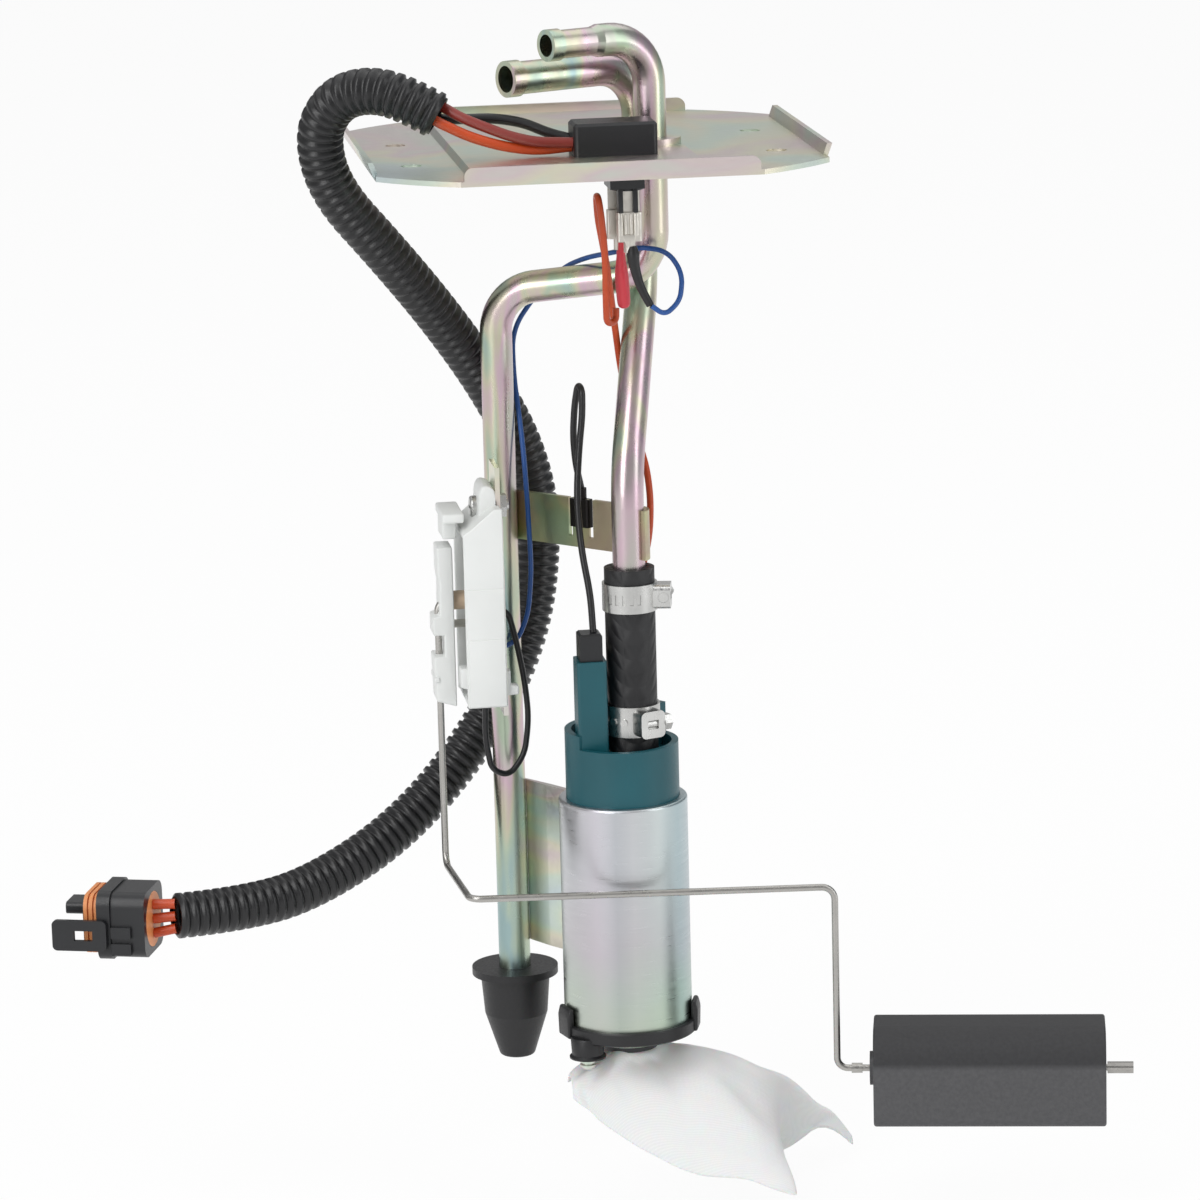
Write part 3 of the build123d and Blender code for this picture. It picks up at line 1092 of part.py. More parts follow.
# ---- Sender case: an open moulding with a hub, a screw lug, a stop shelf and a snap tab ----
case_back = SENDER_PLATE_X - SENDER_PLATE_SHEET
lug_face = case_back - LUG_THICKNESS
case_floor = case_back - CASE_FLOOR
case_middle_z = (CASE_TOP_Z + CASE_BOTTOM_Z) / 2
case_height = CASE_TOP_Z - CASE_BOTTOM_Z
with BuildPart() as sender_case:
    with BuildSketch(Plane.YZ.offset(CASE_FACE_X)):
        with Locations((SENDER_Y, case_middle_z)):
            RectangleRounded(CASE_WIDTH, case_height, 3)
    extrude(amount=case_back - CASE_FACE_X)
    with BuildSketch(Plane.YZ.offset(CASE_FACE_X)):
        with Locations((SENDER_Y, case_middle_z - CASE_WALL)):
            RectangleRounded(CASE_WIDTH - 2 * CASE_WALL, case_height - 4 * CASE_WALL, 2)
    extrude(amount=case_floor - CASE_FACE_X, mode=Mode.SUBTRACT)
    with BuildSketch(Plane.YZ.offset(lug_face)):
        with Locations((SENDER_Y, (CASE_TOP_Z + CASE_LUG_TOP_Z) / 2)):
            RectangleRounded(LUG_WIDTH, CASE_LUG_TOP_Z - CASE_TOP_Z + 6, 2.8)
    extrude(amount=LUG_THICKNESS)
    with BuildSketch(Plane.YZ.offset(CASE_FACE_X - SHELF_REACH)):
        with Locations((SENDER_Y, SHELF_TOP_Z - SHELF_THICKNESS / 2)):
            Rectangle(SHELF_WIDTH, SHELF_THICKNESS)
    extrude(amount=SHELF_REACH)
    with BuildSketch(Plane.YZ.offset(CASE_FACE_X + 1.2)):
        with Locations((SENDER_Y, PIVOT_Z)):
            Circle(CASE_BOSS_RADIUS)
    extrude(amount=case_floor - CASE_FACE_X - 1.2)
    with BuildSketch(Plane.YZ.offset(CASE_FACE_X)):
        with Locations((SENDER_Y, PIVOT_Z)):
            Circle(WIRE_RADIUS + WIRE_GAP)
    extrude(amount=case_floor - CASE_FACE_X, mode=Mode.SUBTRACT)
    with BuildSketch(Plane.YZ.offset(CASE_FACE_X - SHELF_REACH)):
        with Locations((SENDER_Y, SCREW_Z)):
            Circle(SCREW_RADIUS + BORE_GAP)
    extrude(amount=case_back - CASE_FACE_X + SHELF_REACH, mode=Mode.SUBTRACT)
    with BuildSketch(Plane.YZ.offset(CASE_FACE_X - SHELF_REACH)):
        with Locations((SENDER_Y, SCREW_Z + 4)):
            Rectangle(2 * SCREW_HEAD_RADIUS + 1, 2 * SCREW_HEAD_RADIUS + 9)
    extrude(amount=lug_face - CASE_FACE_X + SHELF_REACH, mode=Mode.SUBTRACT)
    with BuildSketch(Plane.YZ.offset(case_back)):
        with Locations((SENDER_Y, CLIP_Z)):
            Rectangle(4, 5)
    extrude(amount=SENDER_PLATE_SHEET + 3.6)
    with BuildSketch(Plane.YZ.offset(SENDER_PLATE_X + 1.8)):
        with Locations((SENDER_Y, CLIP_Z - 1)):
            Rectangle(4, 7)
    extrude(amount=1.8)
sender_case.part.label = "sender_case"
export_step(sender_case.part, "parts/sender_case.step")

# ---- Sender screw and nut, through the case lug and the plate ----
with BuildPart() as sender_screw:
    with BuildSketch(Plane.YZ.offset(lug_face)):
        with Locations((SENDER_Y, SCREW_Z)):
            Circle(SCREW_HEAD_RADIUS)
    extrude(amount=-SCREW_HEAD_THICKNESS)
    fillet(edges().group_by(Axis.X)[0], radius=0.8)
    with BuildSketch(Plane.YZ.offset(lug_face)):
        with Locations((SENDER_Y, SCREW_Z)):
            Circle(SCREW_RADIUS)
    extrude(amount=LUG_THICKNESS + SENDER_PLATE_SHEET + NUT_THICKNESS + 0.8)
    with BuildSketch(Plane.YZ.offset(lug_face - SCREW_HEAD_THICKNESS)):
        with Locations((SENDER_Y, SCREW_Z)):
            Rectangle(4.4, 0.8)
    extrude(amount=0.9, mode=Mode.SUBTRACT)
sender_screw.part.label = "sender_screw"
export_step(sender_screw.part, "parts/sender_screw.step")

with BuildPart() as sender_nut:
    with BuildSketch(Plane.YZ.offset(SENDER_PLATE_X)):
        with Locations((SENDER_Y, SCREW_Z)):
            RegularPolygon(NUT_FLAT_RADIUS, 6, major_radius=False)
            Circle(SCREW_RADIUS + FIT_GAP, mode=Mode.SUBTRACT)
    extrude(amount=NUT_THICKNESS)
sender_nut.part.label = "sender_nut"
export_step(sender_nut.part, "parts/sender_nut.step")

# ---- Resistor card: a ceramic sector on the case floor, swept by the wiper ----
with BuildPart() as resistor_card:
    with BuildSketch(Plane.YZ.offset(case_floor - CARD_THICKNESS)):
        with BuildLine():
            start = -90 - CARD_HALF_ANGLE
            outer_arc = CenterArc((SENDER_Y, PIVOT_Z), CARD_OUTER_RADIUS, start, 2 * CARD_HALF_ANGLE)
            inner_arc = CenterArc((SENDER_Y, PIVOT_Z), CARD_INNER_RADIUS, start, 2 * CARD_HALF_ANGLE)
            Line(outer_arc @ 0, inner_arc @ 0)
            Line(outer_arc @ 1, inner_arc @ 1)
        make_face()
    extrude(amount=CARD_THICKNESS)
resistor_card.part.label = "resistor_card"
export_step(resistor_card.part, "parts/resistor_card.step")

# ---- Hub bush: the tan bearing ring between the case hub and the arm carrier ----
with BuildPart() as hub_bush:
    with BuildSketch(Plane.YZ.offset(CARRIER_FACE_X + 0.2)):
        with Locations((SENDER_Y, PIVOT_Z)):
            Circle(BUSH_RADIUS)
            Circle(WIRE_RADIUS + WIRE_GAP, mode=Mode.SUBTRACT)
    extrude(amount=CASE_FACE_X + 1.2 - CARRIER_FACE_X - 0.2)
hub_bush.part.label = "hub_bush"
export_step(hub_bush.part, "parts/hub_bush.step")



def axle_plane(distance):
    """A plane across the float's axle, at a distance along it from the wire's last corner."""
    return Plane(
        origin=along((WIRE_DROP_X, WIRE_FRONT_Y), AXLE_ANGLE, distance, FLOAT_Z),
        x_dir=along((0, 0), AXLE_ANGLE + 90, 1, 0), z_dir=along((0, 0), AXLE_ANGLE, 1, 0),
    )


# ---- Float wire: pivot pin, vertical arm, front run and the float's axle in one bent wire ----
pin_end_x = case_floor - CARD_THICKNESS - 1
wire_corners = [
    (pin_end_x, SENDER_Y, PIVOT_Z),
    (WIRE_X, SENDER_Y, PIVOT_Z),
    (WIRE_X, SENDER_Y, WIRE_FOOT_Z),
    (WIRE_FRONT_X, WIRE_FRONT_Y, WIRE_FOOT_Z),
    (WIRE_DROP_X, WIRE_FRONT_Y, WIRE_FRONT_END_Z),
    (WIRE_DROP_X, WIRE_FRONT_Y, FLOAT_Z),
    along((WIRE_DROP_X, WIRE_FRONT_Y), AXLE_ANGLE, AXLE_LENGTH, FLOAT_Z),
]
with BuildPart() as float_wire:
    with BuildLine() as wire_path:
        FilletPolyline(*wire_corners, radius=WIRE_BENDS)
    with BuildSketch(Plane(origin=wire_path.line @ 0, z_dir=wire_path.line % 0)):
        Circle(WIRE_RADIUS)
    sweep()
    with BuildSketch(axle_plane(CRIMP_START)):
        Circle(CRIMP_RADIUS)
    extrude(amount=CRIMP_LENGTH)
    with BuildSketch(axle_plane(FLOAT_START + FLOAT_LENGTH + 0.6)):
        Rectangle(1.5, 3.2)
    extrude(amount=AXLE_LENGTH - FLOAT_START - FLOAT_LENGTH - 0.6)
float_wire.part.label = "float_wire"
export_step(float_wire.part, "parts/float_wire.step")

# ---- Arm carrier: the moulded arm that grips the wire in a channel with two windows ----
with BuildPart() as arm_carrier:
    with BuildSketch(Plane.YZ.offset(CARRIER_OUTER_X)):
        with Locations((SENDER_Y, (PIVOT_Z + 5.4 + CARRIER_BOTTOM_Z) / 2)):
            RectangleRounded(CARRIER_WIDTH, PIVOT_Z + 5.4 - CARRIER_BOTTOM_Z, 3)
    extrude(amount=CARRIER_FACE_X - CARRIER_OUTER_X)
    with BuildSketch(Plane.YZ.offset(CARRIER_FACE_X - 3.2)):
        with Locations((SENDER_Y, (CARRIER_TOP_Z + PIVOT_Z) / 2)):
            RectangleRounded(CARRIER_TOP_WIDTH, CARRIER_TOP_Z - PIVOT_Z, 2.5)
    extrude(amount=3.2)
    with BuildSketch(Plane.YZ.offset(CARRIER_OUTER_X)):
        with Locations((SENDER_Y, PIVOT_Z)):
            Circle(WIRE_RADIUS + WIRE_GAP)
        with Locations((SENDER_Y, (PIVOT_Z + CARRIER_BOTTOM_Z) / 2)):
            Rectangle(2 * (WIRE_RADIUS + WIRE_GAP), PIVOT_Z - CARRIER_BOTTOM_Z)
    extrude(amount=WIRE_X + WIRE_RADIUS + WIRE_GAP - CARRIER_OUTER_X, mode=Mode.SUBTRACT)
    with BuildSketch(Plane.YZ.offset(CARRIER_OUTER_X)):
        with Locations((SENDER_Y, PIVOT_Z)):
            Circle(WIRE_RADIUS + WIRE_GAP)
    extrude(amount=CARRIER_FACE_X - CARRIER_OUTER_X, mode=Mode.SUBTRACT)
    bend_plane = Plane.XZ.offset(-SENDER_Y + WIRE_RADIUS + WIRE_GAP)
    with BuildSketch(bend_plane):
        with Locations((WIRE_X + WIRE_BENDS[0] / 2, PIVOT_Z - WIRE_BENDS[0] / 2)):
            Rectangle(WIRE_BENDS[0] + 2.2, WIRE_BENDS[0] + 2.2)
    extrude(amount=-2 * (WIRE_RADIUS + WIRE_GAP), mode=Mode.SUBTRACT)
    for bridge_drop, bridge_height in CARRIER_BRIDGES:
        bridge_top = PIVOT_Z - bridge_drop
        with BuildSketch(Plane.YZ.offset(CARRIER_OUTER_X)):
            with Locations((SENDER_Y, bridge_top - bridge_height / 2)):
                Rectangle(2 * (WIRE_RADIUS + WIRE_GAP), bridge_height)
        extrude(amount=WIRE_X - WIRE_RADIUS - WIRE_GAP - CARRIER_OUTER_X)
arm_carrier.part.label = "arm_carrier"
export_step(arm_carrier.part, "parts/arm_carrier.step")

# ---- Wiper: a spring leaf from the carrier that reaches the card through the open case ----
wiper_out = (0, math.sin(math.radians(WIPER_ANGLE)), -math.cos(math.radians(WIPER_ANGLE)))
wiper_plane = Plane(origin=(CARRIER_FACE_X, SENDER_Y, PIVOT_Z), x_dir=wiper_out, z_dir=(1, 0, 0))
wiper_reach = case_floor - CARD_THICKNESS - CARRIER_FACE_X
with BuildPart() as wiper:
    with BuildSketch(wiper_plane):
        with Locations((WIPER_RADIUS / 2 + 2.6, 0)):
            Rectangle(WIPER_RADIUS - 3, WIPER_WIDTH)
    extrude(amount=WIPER_SHEET)
    with BuildSketch(wiper_plane):
        with Locations((WIPER_RADIUS, 0)):
            Rectangle(WIPER_SHEET * 2, WIPER_WIDTH)
    extrude(amount=wiper_reach - 0.15)
wiper.part.label = "wiper"
export_step(wiper.part, "parts/wiper.step")

# ---- Float: a closed-cell block that turns freely on the end of the wire ----
float_axis = Axis((0, 0, 0), along((0, 0), AXLE_ANGLE, 1, 0))
with BuildPart() as float_block:
    with BuildSketch(axle_plane(FLOAT_START)):
        Rectangle(FLOAT_DEPTH, FLOAT_HEIGHT)
    extrude(amount=FLOAT_LENGTH)
    fillet(edges().filter_by(float_axis).group_by(Axis.Z)[-1], radius=FLOAT_TOP_RADIUS)
    fillet(edges().filter_by(float_axis).group_by(Axis.Z)[0], radius=FLOAT_EDGE_RADIUS)
    float_ends = faces().sort_by(float_axis)
    fillet(float_ends[0].edges() + float_ends[-1].edges(), radius=0.8)
    with BuildSketch(axle_plane(FLOAT_START)):
        Circle(FLOAT_HUB_RADIUS)
    extrude(amount=-FLOAT_HUB_LENGTH)
    with BuildSketch(axle_plane(FLOAT_START - FLOAT_HUB_LENGTH)):
        Circle(WIRE_RADIUS + BORE_GAP)
    extrude(amount=FLOAT_LENGTH + FLOAT_HUB_LENGTH, mode=Mode.SUBTRACT)
float_block.part.label = "float"
export_step(float_block.part, "parts/float.step")

# ---- Harness: wires from the block, conduit, pigtail, connector and its seals ----
flexible_tube("harness_wire_red", RED_WIRE_ROUTE, HARNESS_WIRE)
flexible_tube("harness_wire_orange", ORANGE_WIRE_ROUTE, HARNESS_WIRE)
flexible_tube("harness_wire_black", BLACK_WIRE_ROUTE, HARNESS_WIRE)
flexible_tube("harness_conduit", CONDUIT_ROUTE, CONDUIT_DIAMETER)

plug_forward = (-math.cos(math.radians(PLUG_TURN)), math.sin(math.radians(PLUG_TURN)), 0)
plug_side = (-math.sin(math.radians(PLUG_TURN)), -math.cos(math.radians(PLUG_TURN)), 0)
plug_plane = Plane(origin=PLUG_ORIGIN, x_dir=plug_side, z_dir=plug_forward)
WIRE_LEVELS = (PLUG_WIRE_SPACING, 0, -PLUG_WIRE_SPACING)
REAR_SEAL_RADIUS = 8.2
REAR_SEAL_DEPTH = 4
with BuildPart() as connector_body:
    with BuildSketch(plug_plane):
        RectangleRounded(PLUG_BODY_WIDTH, PLUG_BODY_HEIGHT, 4)
    extrude(amount=PLUG_BODY_LENGTH)
    with BuildSketch(plug_plane.offset(PLUG_BODY_LENGTH - 4)):
        RectangleRounded(PLUG_BODY_WIDTH + 1.6, PLUG_BODY_HEIGHT + 1, 4)
    extrude(amount=4)
    with BuildSketch(plug_plane.offset(PLUG_BODY_LENGTH)):
        RectangleRounded(PLUG_BODY_WIDTH - 5, PLUG_BODY_HEIGHT - 5, 3)
    extrude(amount=PLUG_SEAL_LENGTH)
    with BuildSketch(plug_plane.offset(PLUG_BODY_LENGTH + PLUG_SEAL_LENGTH)):
        with Locations((0, 3.9)):
            RectangleRounded(PLUG_NOSE_WIDTH, PLUG_NOSE_HEIGHT, 1.2)
    extrude(amount=PLUG_NOSE_LENGTH)
    with BuildSketch(plug_plane.offset(4)):
        for rib_level in (-6.4, -1.4):
            with Locations((PLUG_BODY_WIDTH / 2 + 0.4, rib_level)):
                Rectangle(1.6, 3.4)
    extrude(amount=6)
    with BuildSketch(plug_plane):
        Circle(REAR_SEAL_RADIUS + FIT_GAP)
    extrude(amount=REAR_SEAL_DEPTH, mode=Mode.SUBTRACT)
connector_body.part.label = "connector_body"
export_step(connector_body.part, "parts/connector_body.step")

with BuildPart() as connector_rear_seal:
    with BuildSketch(plug_plane):
        Circle(REAR_SEAL_RADIUS)
    extrude(amount=REAR_SEAL_DEPTH)
connector_rear_seal.part.label = "connector_rear_seal"
export_step(connector_rear_seal.part, "parts/connector_rear_seal.step")

with BuildPart() as connector_front_seal:
    for rib in range(3):
        with BuildSketch(plug_plane.offset(PLUG_BODY_LENGTH + 0.1 + rib * 1.6)):
            RectangleRounded(PLUG_BODY_WIDTH - 2, PLUG_BODY_HEIGHT - 1.6, 4)
            RectangleRounded(PLUG_BODY_WIDTH - 5 + 2 * FIT_GAP, PLUG_BODY_HEIGHT - 5 + 2 * FIT_GAP,
                             3, mode=Mode.SUBTRACT)
        extrude(amount=1.1)
    with BuildSketch(plug_plane.offset(PLUG_BODY_LENGTH + 0.1)):
        RectangleRounded(PLUG_BODY_WIDTH - 3.6, PLUG_BODY_HEIGHT - 3.4, 3.4)
        RectangleRounded(PLUG_BODY_WIDTH - 5 + 2 * FIT_GAP, PLUG_BODY_HEIGHT - 5 + 2 * FIT_GAP,
                         3, mode=Mode.SUBTRACT)
    extrude(amount=PLUG_SEAL_LENGTH - 0.8)
connector_front_seal.part.label = "connector_front_seal"
export_step(connector_front_seal.part, "parts/connector_front_seal.step")

# The latch is a thin arm beside the body, which flexes outward about its rear root.
latch_plane = Plane(
    origin=plug_plane.from_local_coords(
        (PLUG_BODY_WIDTH / 2 + 0.8 + SEAT_GAP, -LATCH_DROP, PLUG_BODY_LENGTH - 3.2)),
    x_dir=plug_forward, z_dir=plug_side,
)
with BuildPart() as connector_latch:
    with BuildSketch(latch_plane):
        with Locations((LATCH_LENGTH / 2, 0)):
            RectangleRounded(LATCH_LENGTH, LATCH_HEIGHT, 1.5)
        with Locations((LATCH_LENGTH / 2 - 1.2, 0)):
            Rectangle(5.6, 3, mode=Mode.SUBTRACT)
    extrude(amount=LATCH_THICKNESS)
connector_latch.part.label = "connector_latch"
export_step(connector_latch.part, "parts/connector_latch.step")

with BuildPart() as connector_pigtail:
    conduit_end = Vector(*CONDUIT_ROUTE[-1])
    for level in WIRE_LEVELS:
        wire_start = plug_plane.from_local_coords((0, level, 0))
        wire_end = conduit_end + Vector(0, 0, level * 0.85)
        with BuildSketch(Plane(origin=wire_start, z_dir=wire_end - wire_start)):
            Circle(HARNESS_WIRE / 2)
        extrude(amount=(wire_end - wire_start).length)
connector_pigtail.part.label = "connector_pigtail"
export_step(connector_pigtail.part, "parts/connector_pigtail.step")

# ---- Leads between the terminals, the pump and the sender ----
flexible_tube("orange_lead", ORANGE_LEAD_ROUTE, LEAD)
flexible_tube("blue_lead", BLUE_LEAD_ROUTE, LEAD * 0.75)
flexible_tube("ground_lead", GROUND_LEAD_ROUTE, LEAD)
flexible_tube("sender_lead", SENDER_LEAD_ROUTE, LEAD * 0.9)
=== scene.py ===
# %% [markdown]
# # A fuel pump module in its real finishes
# Everything below gives those solids their real finishes, and adds the pieces that a plain
# solid can't show, such as the ribs of the conduit and the cloth of the strainer.

import math

import bmesh
import bpy
from mathutils import Matrix, Vector


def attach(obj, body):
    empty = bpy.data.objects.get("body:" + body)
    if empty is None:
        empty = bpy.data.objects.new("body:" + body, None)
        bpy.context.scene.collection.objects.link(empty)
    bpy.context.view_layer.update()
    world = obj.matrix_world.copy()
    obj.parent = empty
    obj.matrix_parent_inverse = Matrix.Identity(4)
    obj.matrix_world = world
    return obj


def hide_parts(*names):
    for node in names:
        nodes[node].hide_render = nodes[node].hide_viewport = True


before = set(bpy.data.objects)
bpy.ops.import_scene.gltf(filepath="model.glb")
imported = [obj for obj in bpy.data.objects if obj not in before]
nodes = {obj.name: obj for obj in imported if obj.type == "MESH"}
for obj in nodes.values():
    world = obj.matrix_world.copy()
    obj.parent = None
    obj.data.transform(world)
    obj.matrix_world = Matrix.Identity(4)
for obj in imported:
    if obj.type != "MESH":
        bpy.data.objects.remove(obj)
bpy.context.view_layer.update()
print("solids:", len(nodes))


# %% One helper for every new object
def place_object(name, data):
    """A new object in the scene, at the origin."""
    piece = bpy.data.objects.new(name, data)
    bpy.context.scene.collection.objects.link(piece)
    return piece



# %% [markdown]
# ## Camera
# A long lens a metre and a half away keeps the uprights nearly parallel. The matrix is built
# from yaw, pitch and roll, so each angle can be tuned alone.

# %% Camera
CAMERA_PLACE = Vector((-0.192191, -1.478135, 0.194784))
YAW, PITCH, ROLL = math.radians(7.5), math.radians(12.5), math.radians(1.5)
SENSOR_WIDTH, FOCAL_LENGTH = 36, 153
forward = Vector((math.sin(YAW) * math.cos(PITCH), math.cos(YAW) * math.cos(PITCH), -math.sin(PITCH)))
level_right = Vector((math.cos(YAW), -math.sin(YAW), 0))
level_up = level_right.cross(forward)
right = level_right * math.cos(ROLL) - level_up * math.sin(ROLL)
up = level_up * math.cos(ROLL) + level_right * math.sin(ROLL)
camera_data = bpy.data.cameras.new("camera")
camera_data.sensor_width = SENSOR_WIDTH
camera_data.lens = FOCAL_LENGTH
camera_data.clip_start = 0.05
camera_data.clip_end = 30
camera = place_object("camera", camera_data)
camera.matrix_world = Matrix.Translation(CAMERA_PLACE) @ Matrix((right, up, -forward)).transposed().to_4x4()
bpy.context.scene.camera = camera
bpy.context.scene.view_settings.view_transform = "Standard"
print("camera", round(CAMERA_PLACE.length, 3), "m from the origin")

# %% [markdown]
# ## Helpers for finishes
# Each finish is a small node tree on object coordinates, in metres, so a pattern keeps its
# real scale. One helper starts a material, and the others add one kind of node each.


# %% Start a finish
def new_finish(name, metallic, roughness):
    """A material with one shader, and its object coordinates ready for patterns."""
    material = bpy.data.materials.new(name)
    material.use_nodes = True
    tree = material.node_tree
    shader = tree.nodes["Principled BSDF"]
    shader.inputs["Metallic"].default_value = metallic
    shader.inputs["Roughness"].default_value = roughness
    coordinates = tree.nodes.new("ShaderNodeTexCoord")
    return material, tree, shader, coordinates.outputs["Object"]


def stretched(tree, source, scale):
    """Coordinates stretched by a scale along each axis."""
    mapping = tree.nodes.new("ShaderNodeMapping")
    mapping.inputs["Scale"].default_value = scale
    tree.links.new(source, mapping.inputs["Vector"])
    return mapping.outputs["Vector"]


def along_axis(tree, source, axis, start, end):
    """How far a point has gone along an axis: 0 at the start, 1 at the end."""
    split = tree.nodes.new("ShaderNodeSeparateXYZ")
    tree.links.new(source, split.inputs["Vector"])
    share = tree.nodes.new("ShaderNodeMapRange")
    share.inputs["From Min"].default_value = start
    share.inputs["From Max"].default_value = end
    tree.links.new(split.outputs[axis], share.inputs["Value"])
    return share.outputs["Result"]


# %% Patterns
def noise(tree, source, scale, detail=4, distortion=0.0):
    """Soft random spots at a scale of so many to the metre."""
    node = tree.nodes.new("ShaderNodeTexNoise")
    node.inputs["Scale"].default_value = scale
    node.inputs["Detail"].default_value = detail
    node.inputs["Distortion"].default_value = distortion
    tree.links.new(source, node.inputs["Vector"])
    return node.outputs["Fac"]


def ramp(tree, source, stops):
    """Turns a value into colours at stops of (position, colour)."""
    node = tree.nodes.new("ShaderNodeValToRGB")
    elements = node.color_ramp.elements
    while len(elements) < len(stops):
        elements.new(0.5)
    for element, (position, colour) in zip(elements, stops):
        element.position = position
        element.color = (*colour, 1)
    tree.links.new(source, node.inputs["Fac"])
    return node.outputs["Color"]


def spread(tree, source, low, high):
    """Maps a noise value to the range from low to high."""
    node = tree.nodes.new("ShaderNodeMapRange")
    node.inputs["From Min"].default_value = 0.3
    node.inputs["From Max"].default_value = 0.7
    node.inputs["To Min"].default_value = low
    node.inputs["To Max"].default_value = high
    tree.links.new(source, node.inputs["Value"])
    return node.outputs["Result"]


def calculate(tree, operation, *values):
    """One sum on sockets and plain numbers."""
    node = tree.nodes.new("ShaderNodeMath")
    node.operation = operation
    for socket, value in zip(node.inputs, values):
        if isinstance(value, (int, float)):
            socket.default_value = value
        else:
            tree.links.new(value, socket)
    return node.outputs["Value"]


def bump(tree, shader, source, height, strength=1.0):
    """Raises the surface by a height in metres where the source is white."""
    node = tree.nodes.new("ShaderNodeBump")
    node.inputs["Strength"].default_value = strength
    node.inputs["Distance"].default_value = height
    tree.links.new(source, node.inputs["Height"])
    tree.links.new(node.outputs["Normal"], shader.inputs["Normal"])


# %% Colours
def linear(*channels):
    """A screen colour of 0 to 255 as the linear colour that a shader takes."""
    return tuple((c / 255 / 12.92) if c < 11 else ((c / 255 + 0.055) / 1.055) ** 2.4 for c in channels)


def shade(colour, factor):
    """A lighter or darker form of a colour."""
    return tuple(min(1.0, c * factor) for c in colour)


def mottle(tree, shader, source, darker, lighter):
    """Lets the base colour drift from one colour to another with a noise."""
    tree.links.new(ramp(tree, source, [(0.3, darker), (0.7, lighter)]), shader.inputs["Base Color"])


def mix_colours(tree, share, first, second, kind="MIX"):
    """Two colours mixed by a share, which is a socket or a plain number."""
    mix = tree.nodes.new("ShaderNodeMix")
    mix.data_type = "RGBA"
    mix.blend_type = kind
    if isinstance(share, float):
        mix.inputs["Factor"].default_value = share
    else:
        tree.links.new(share, mix.inputs["Factor"])
    tree.links.new(first, mix.inputs["A"])
    tree.links.new(second, mix.inputs["B"])
    return mix.outputs["Result"]


# %% [markdown]
# ## Zinc plating
# The plate, pipes and brackets are steel with a yellow-chromate zinc coat, whose thin film
# shows pale green with drifts of pink, straw and blue. A broad noise through a colour ramp
# gives those drifts, and a fine stretched noise gives the drawn or rolled grain.


# %% Zinc plating
def zinc_plating(name, tint, grain_scale, roughness=0.34, drift=(14, 14, 14), relief=0.00002):
    material, tree, shader, place = new_finish(name, 1.0, roughness)
    drifts = noise(tree, stretched(tree, place, drift), 1, 2, 0.6)
    green, pink, straw, blue = tint
    colour = ramp(tree, drifts, [(0.28, blue), (0.40, green), (0.48, straw), (0.58, pink), (0.72, green)])
    tree.links.new(colour, shader.inputs["Base Color"])
    grain = noise(tree, stretched(tree, place, grain_scale), 1, 3)
    tree.links.new(spread(tree, grain, roughness - 0.04, roughness + 0.08), shader.inputs["Roughness"])
    bump(tree, shader, grain, relief, 0.5)
    return material


SHEET_TINTS = (linear(210, 222, 208), linear(220, 206, 206), linear(224, 220, 200), linear(202, 214, 216))
PIPE_TINTS = (linear(178, 192, 172), linear(204, 178, 190), linear(200, 196, 174), linear(156, 180, 180))
STRAP_TINTS = (linear(170, 184, 152), linear(188, 172, 152), linear(194, 190, 152), linear(150, 178, 156))
zinc_sheet = zinc_plating("zinc_sheet", SHEET_TINTS, (300, 900, 900), 0.32, (20, 14, 60))
zinc_pipe = zinc_plating("zinc_pipe", PIPE_TINTS, (240, 240, 60), 0.28, (90, 90, 20), 0.000002)
zinc_strap = zinc_plating("zinc_strap", STRAP_TINTS, (700, 700, 700), 0.36, (40, 40, 40))
zinc_stud = zinc_plating("zinc_stud", SHEET_TINTS, (900, 900, 900), 0.40, (60, 60, 60))
print("plated:", [material.name for material in (zinc_sheet, zinc_pipe, zinc_strap, zinc_stud)])

# %% [markdown]
# ## Plain metals
# Stainless clamps, the steel arm, tinned terminals, brass, cast aluminium and dark iron differ
# in colour and in how their grain runs, so one function takes both.


# %% Plain metals
def bare_metal(name, colour, grain_scale, roughness, variation=0.12):
    material, tree, shader, place = new_finish(name, 1.0, roughness)
    tone = noise(tree, place, 90, 3)
    mottle(tree, shader, tone, shade(colour, 1 - variation), shade(colour, 1 + variation))
    grain = noise(tree, stretched(tree, place, grain_scale), 1, 2)
    tree.links.new(spread(tree, grain, roughness - 0.06, roughness + 0.10), shader.inputs["Roughness"])
    bump(tree, shader, grain, 0.000015, 0.5)
    return material


stainless = bare_metal("stainless", linear(200, 200, 198), (1500, 1500, 400), 0.30)
arm_steel = bare_metal("arm_steel", linear(178, 176, 172), (600, 600, 600), 0.30, 0.05)
tinned = bare_metal("tinned", linear(212, 208, 200), (900, 900, 900), 0.36)
brass = bare_metal("brass", linear(196, 160, 96), (900, 900, 900), 0.34)
cast_aluminium = bare_metal("cast_aluminium", linear(190, 192, 194), (1200, 1200, 1200), 0.5)
dark_terminal = bare_metal("dark_terminal", linear(44, 42, 42), (900, 900, 900), 0.42)
dark_iron = bare_metal("dark_iron", linear(110, 106, 102), (1200, 1200, 1200), 0.55)
print("metals so far:", len(bpy.data.materials))

# %% [markdown]
# ## Moulded plastic and rubber
# Mouldings have a fine, even grain and a slight drift of tone. Rubber is the same with a
# coarser grain.


# %% Mouldings
def moulding(name, colour, roughness=0.42, grain=2400, relief=0.00002, variation=0.10):
    material, tree, shader, place = new_finish(name, 0.0, roughness)
    tone = noise(tree, place, 45, 3)
    mottle(tree, shader, tone, shade(colour, 1 - variation), shade(colour, 1 + variation))
    fine = noise(tree, place, grain, 3)
    tree.links.new(spread(tree, fine, roughness - 0.06, roughness + 0.08), shader.inputs["Roughness"])
    bump(tree, shader, fine, relief, 0.6)
    return material


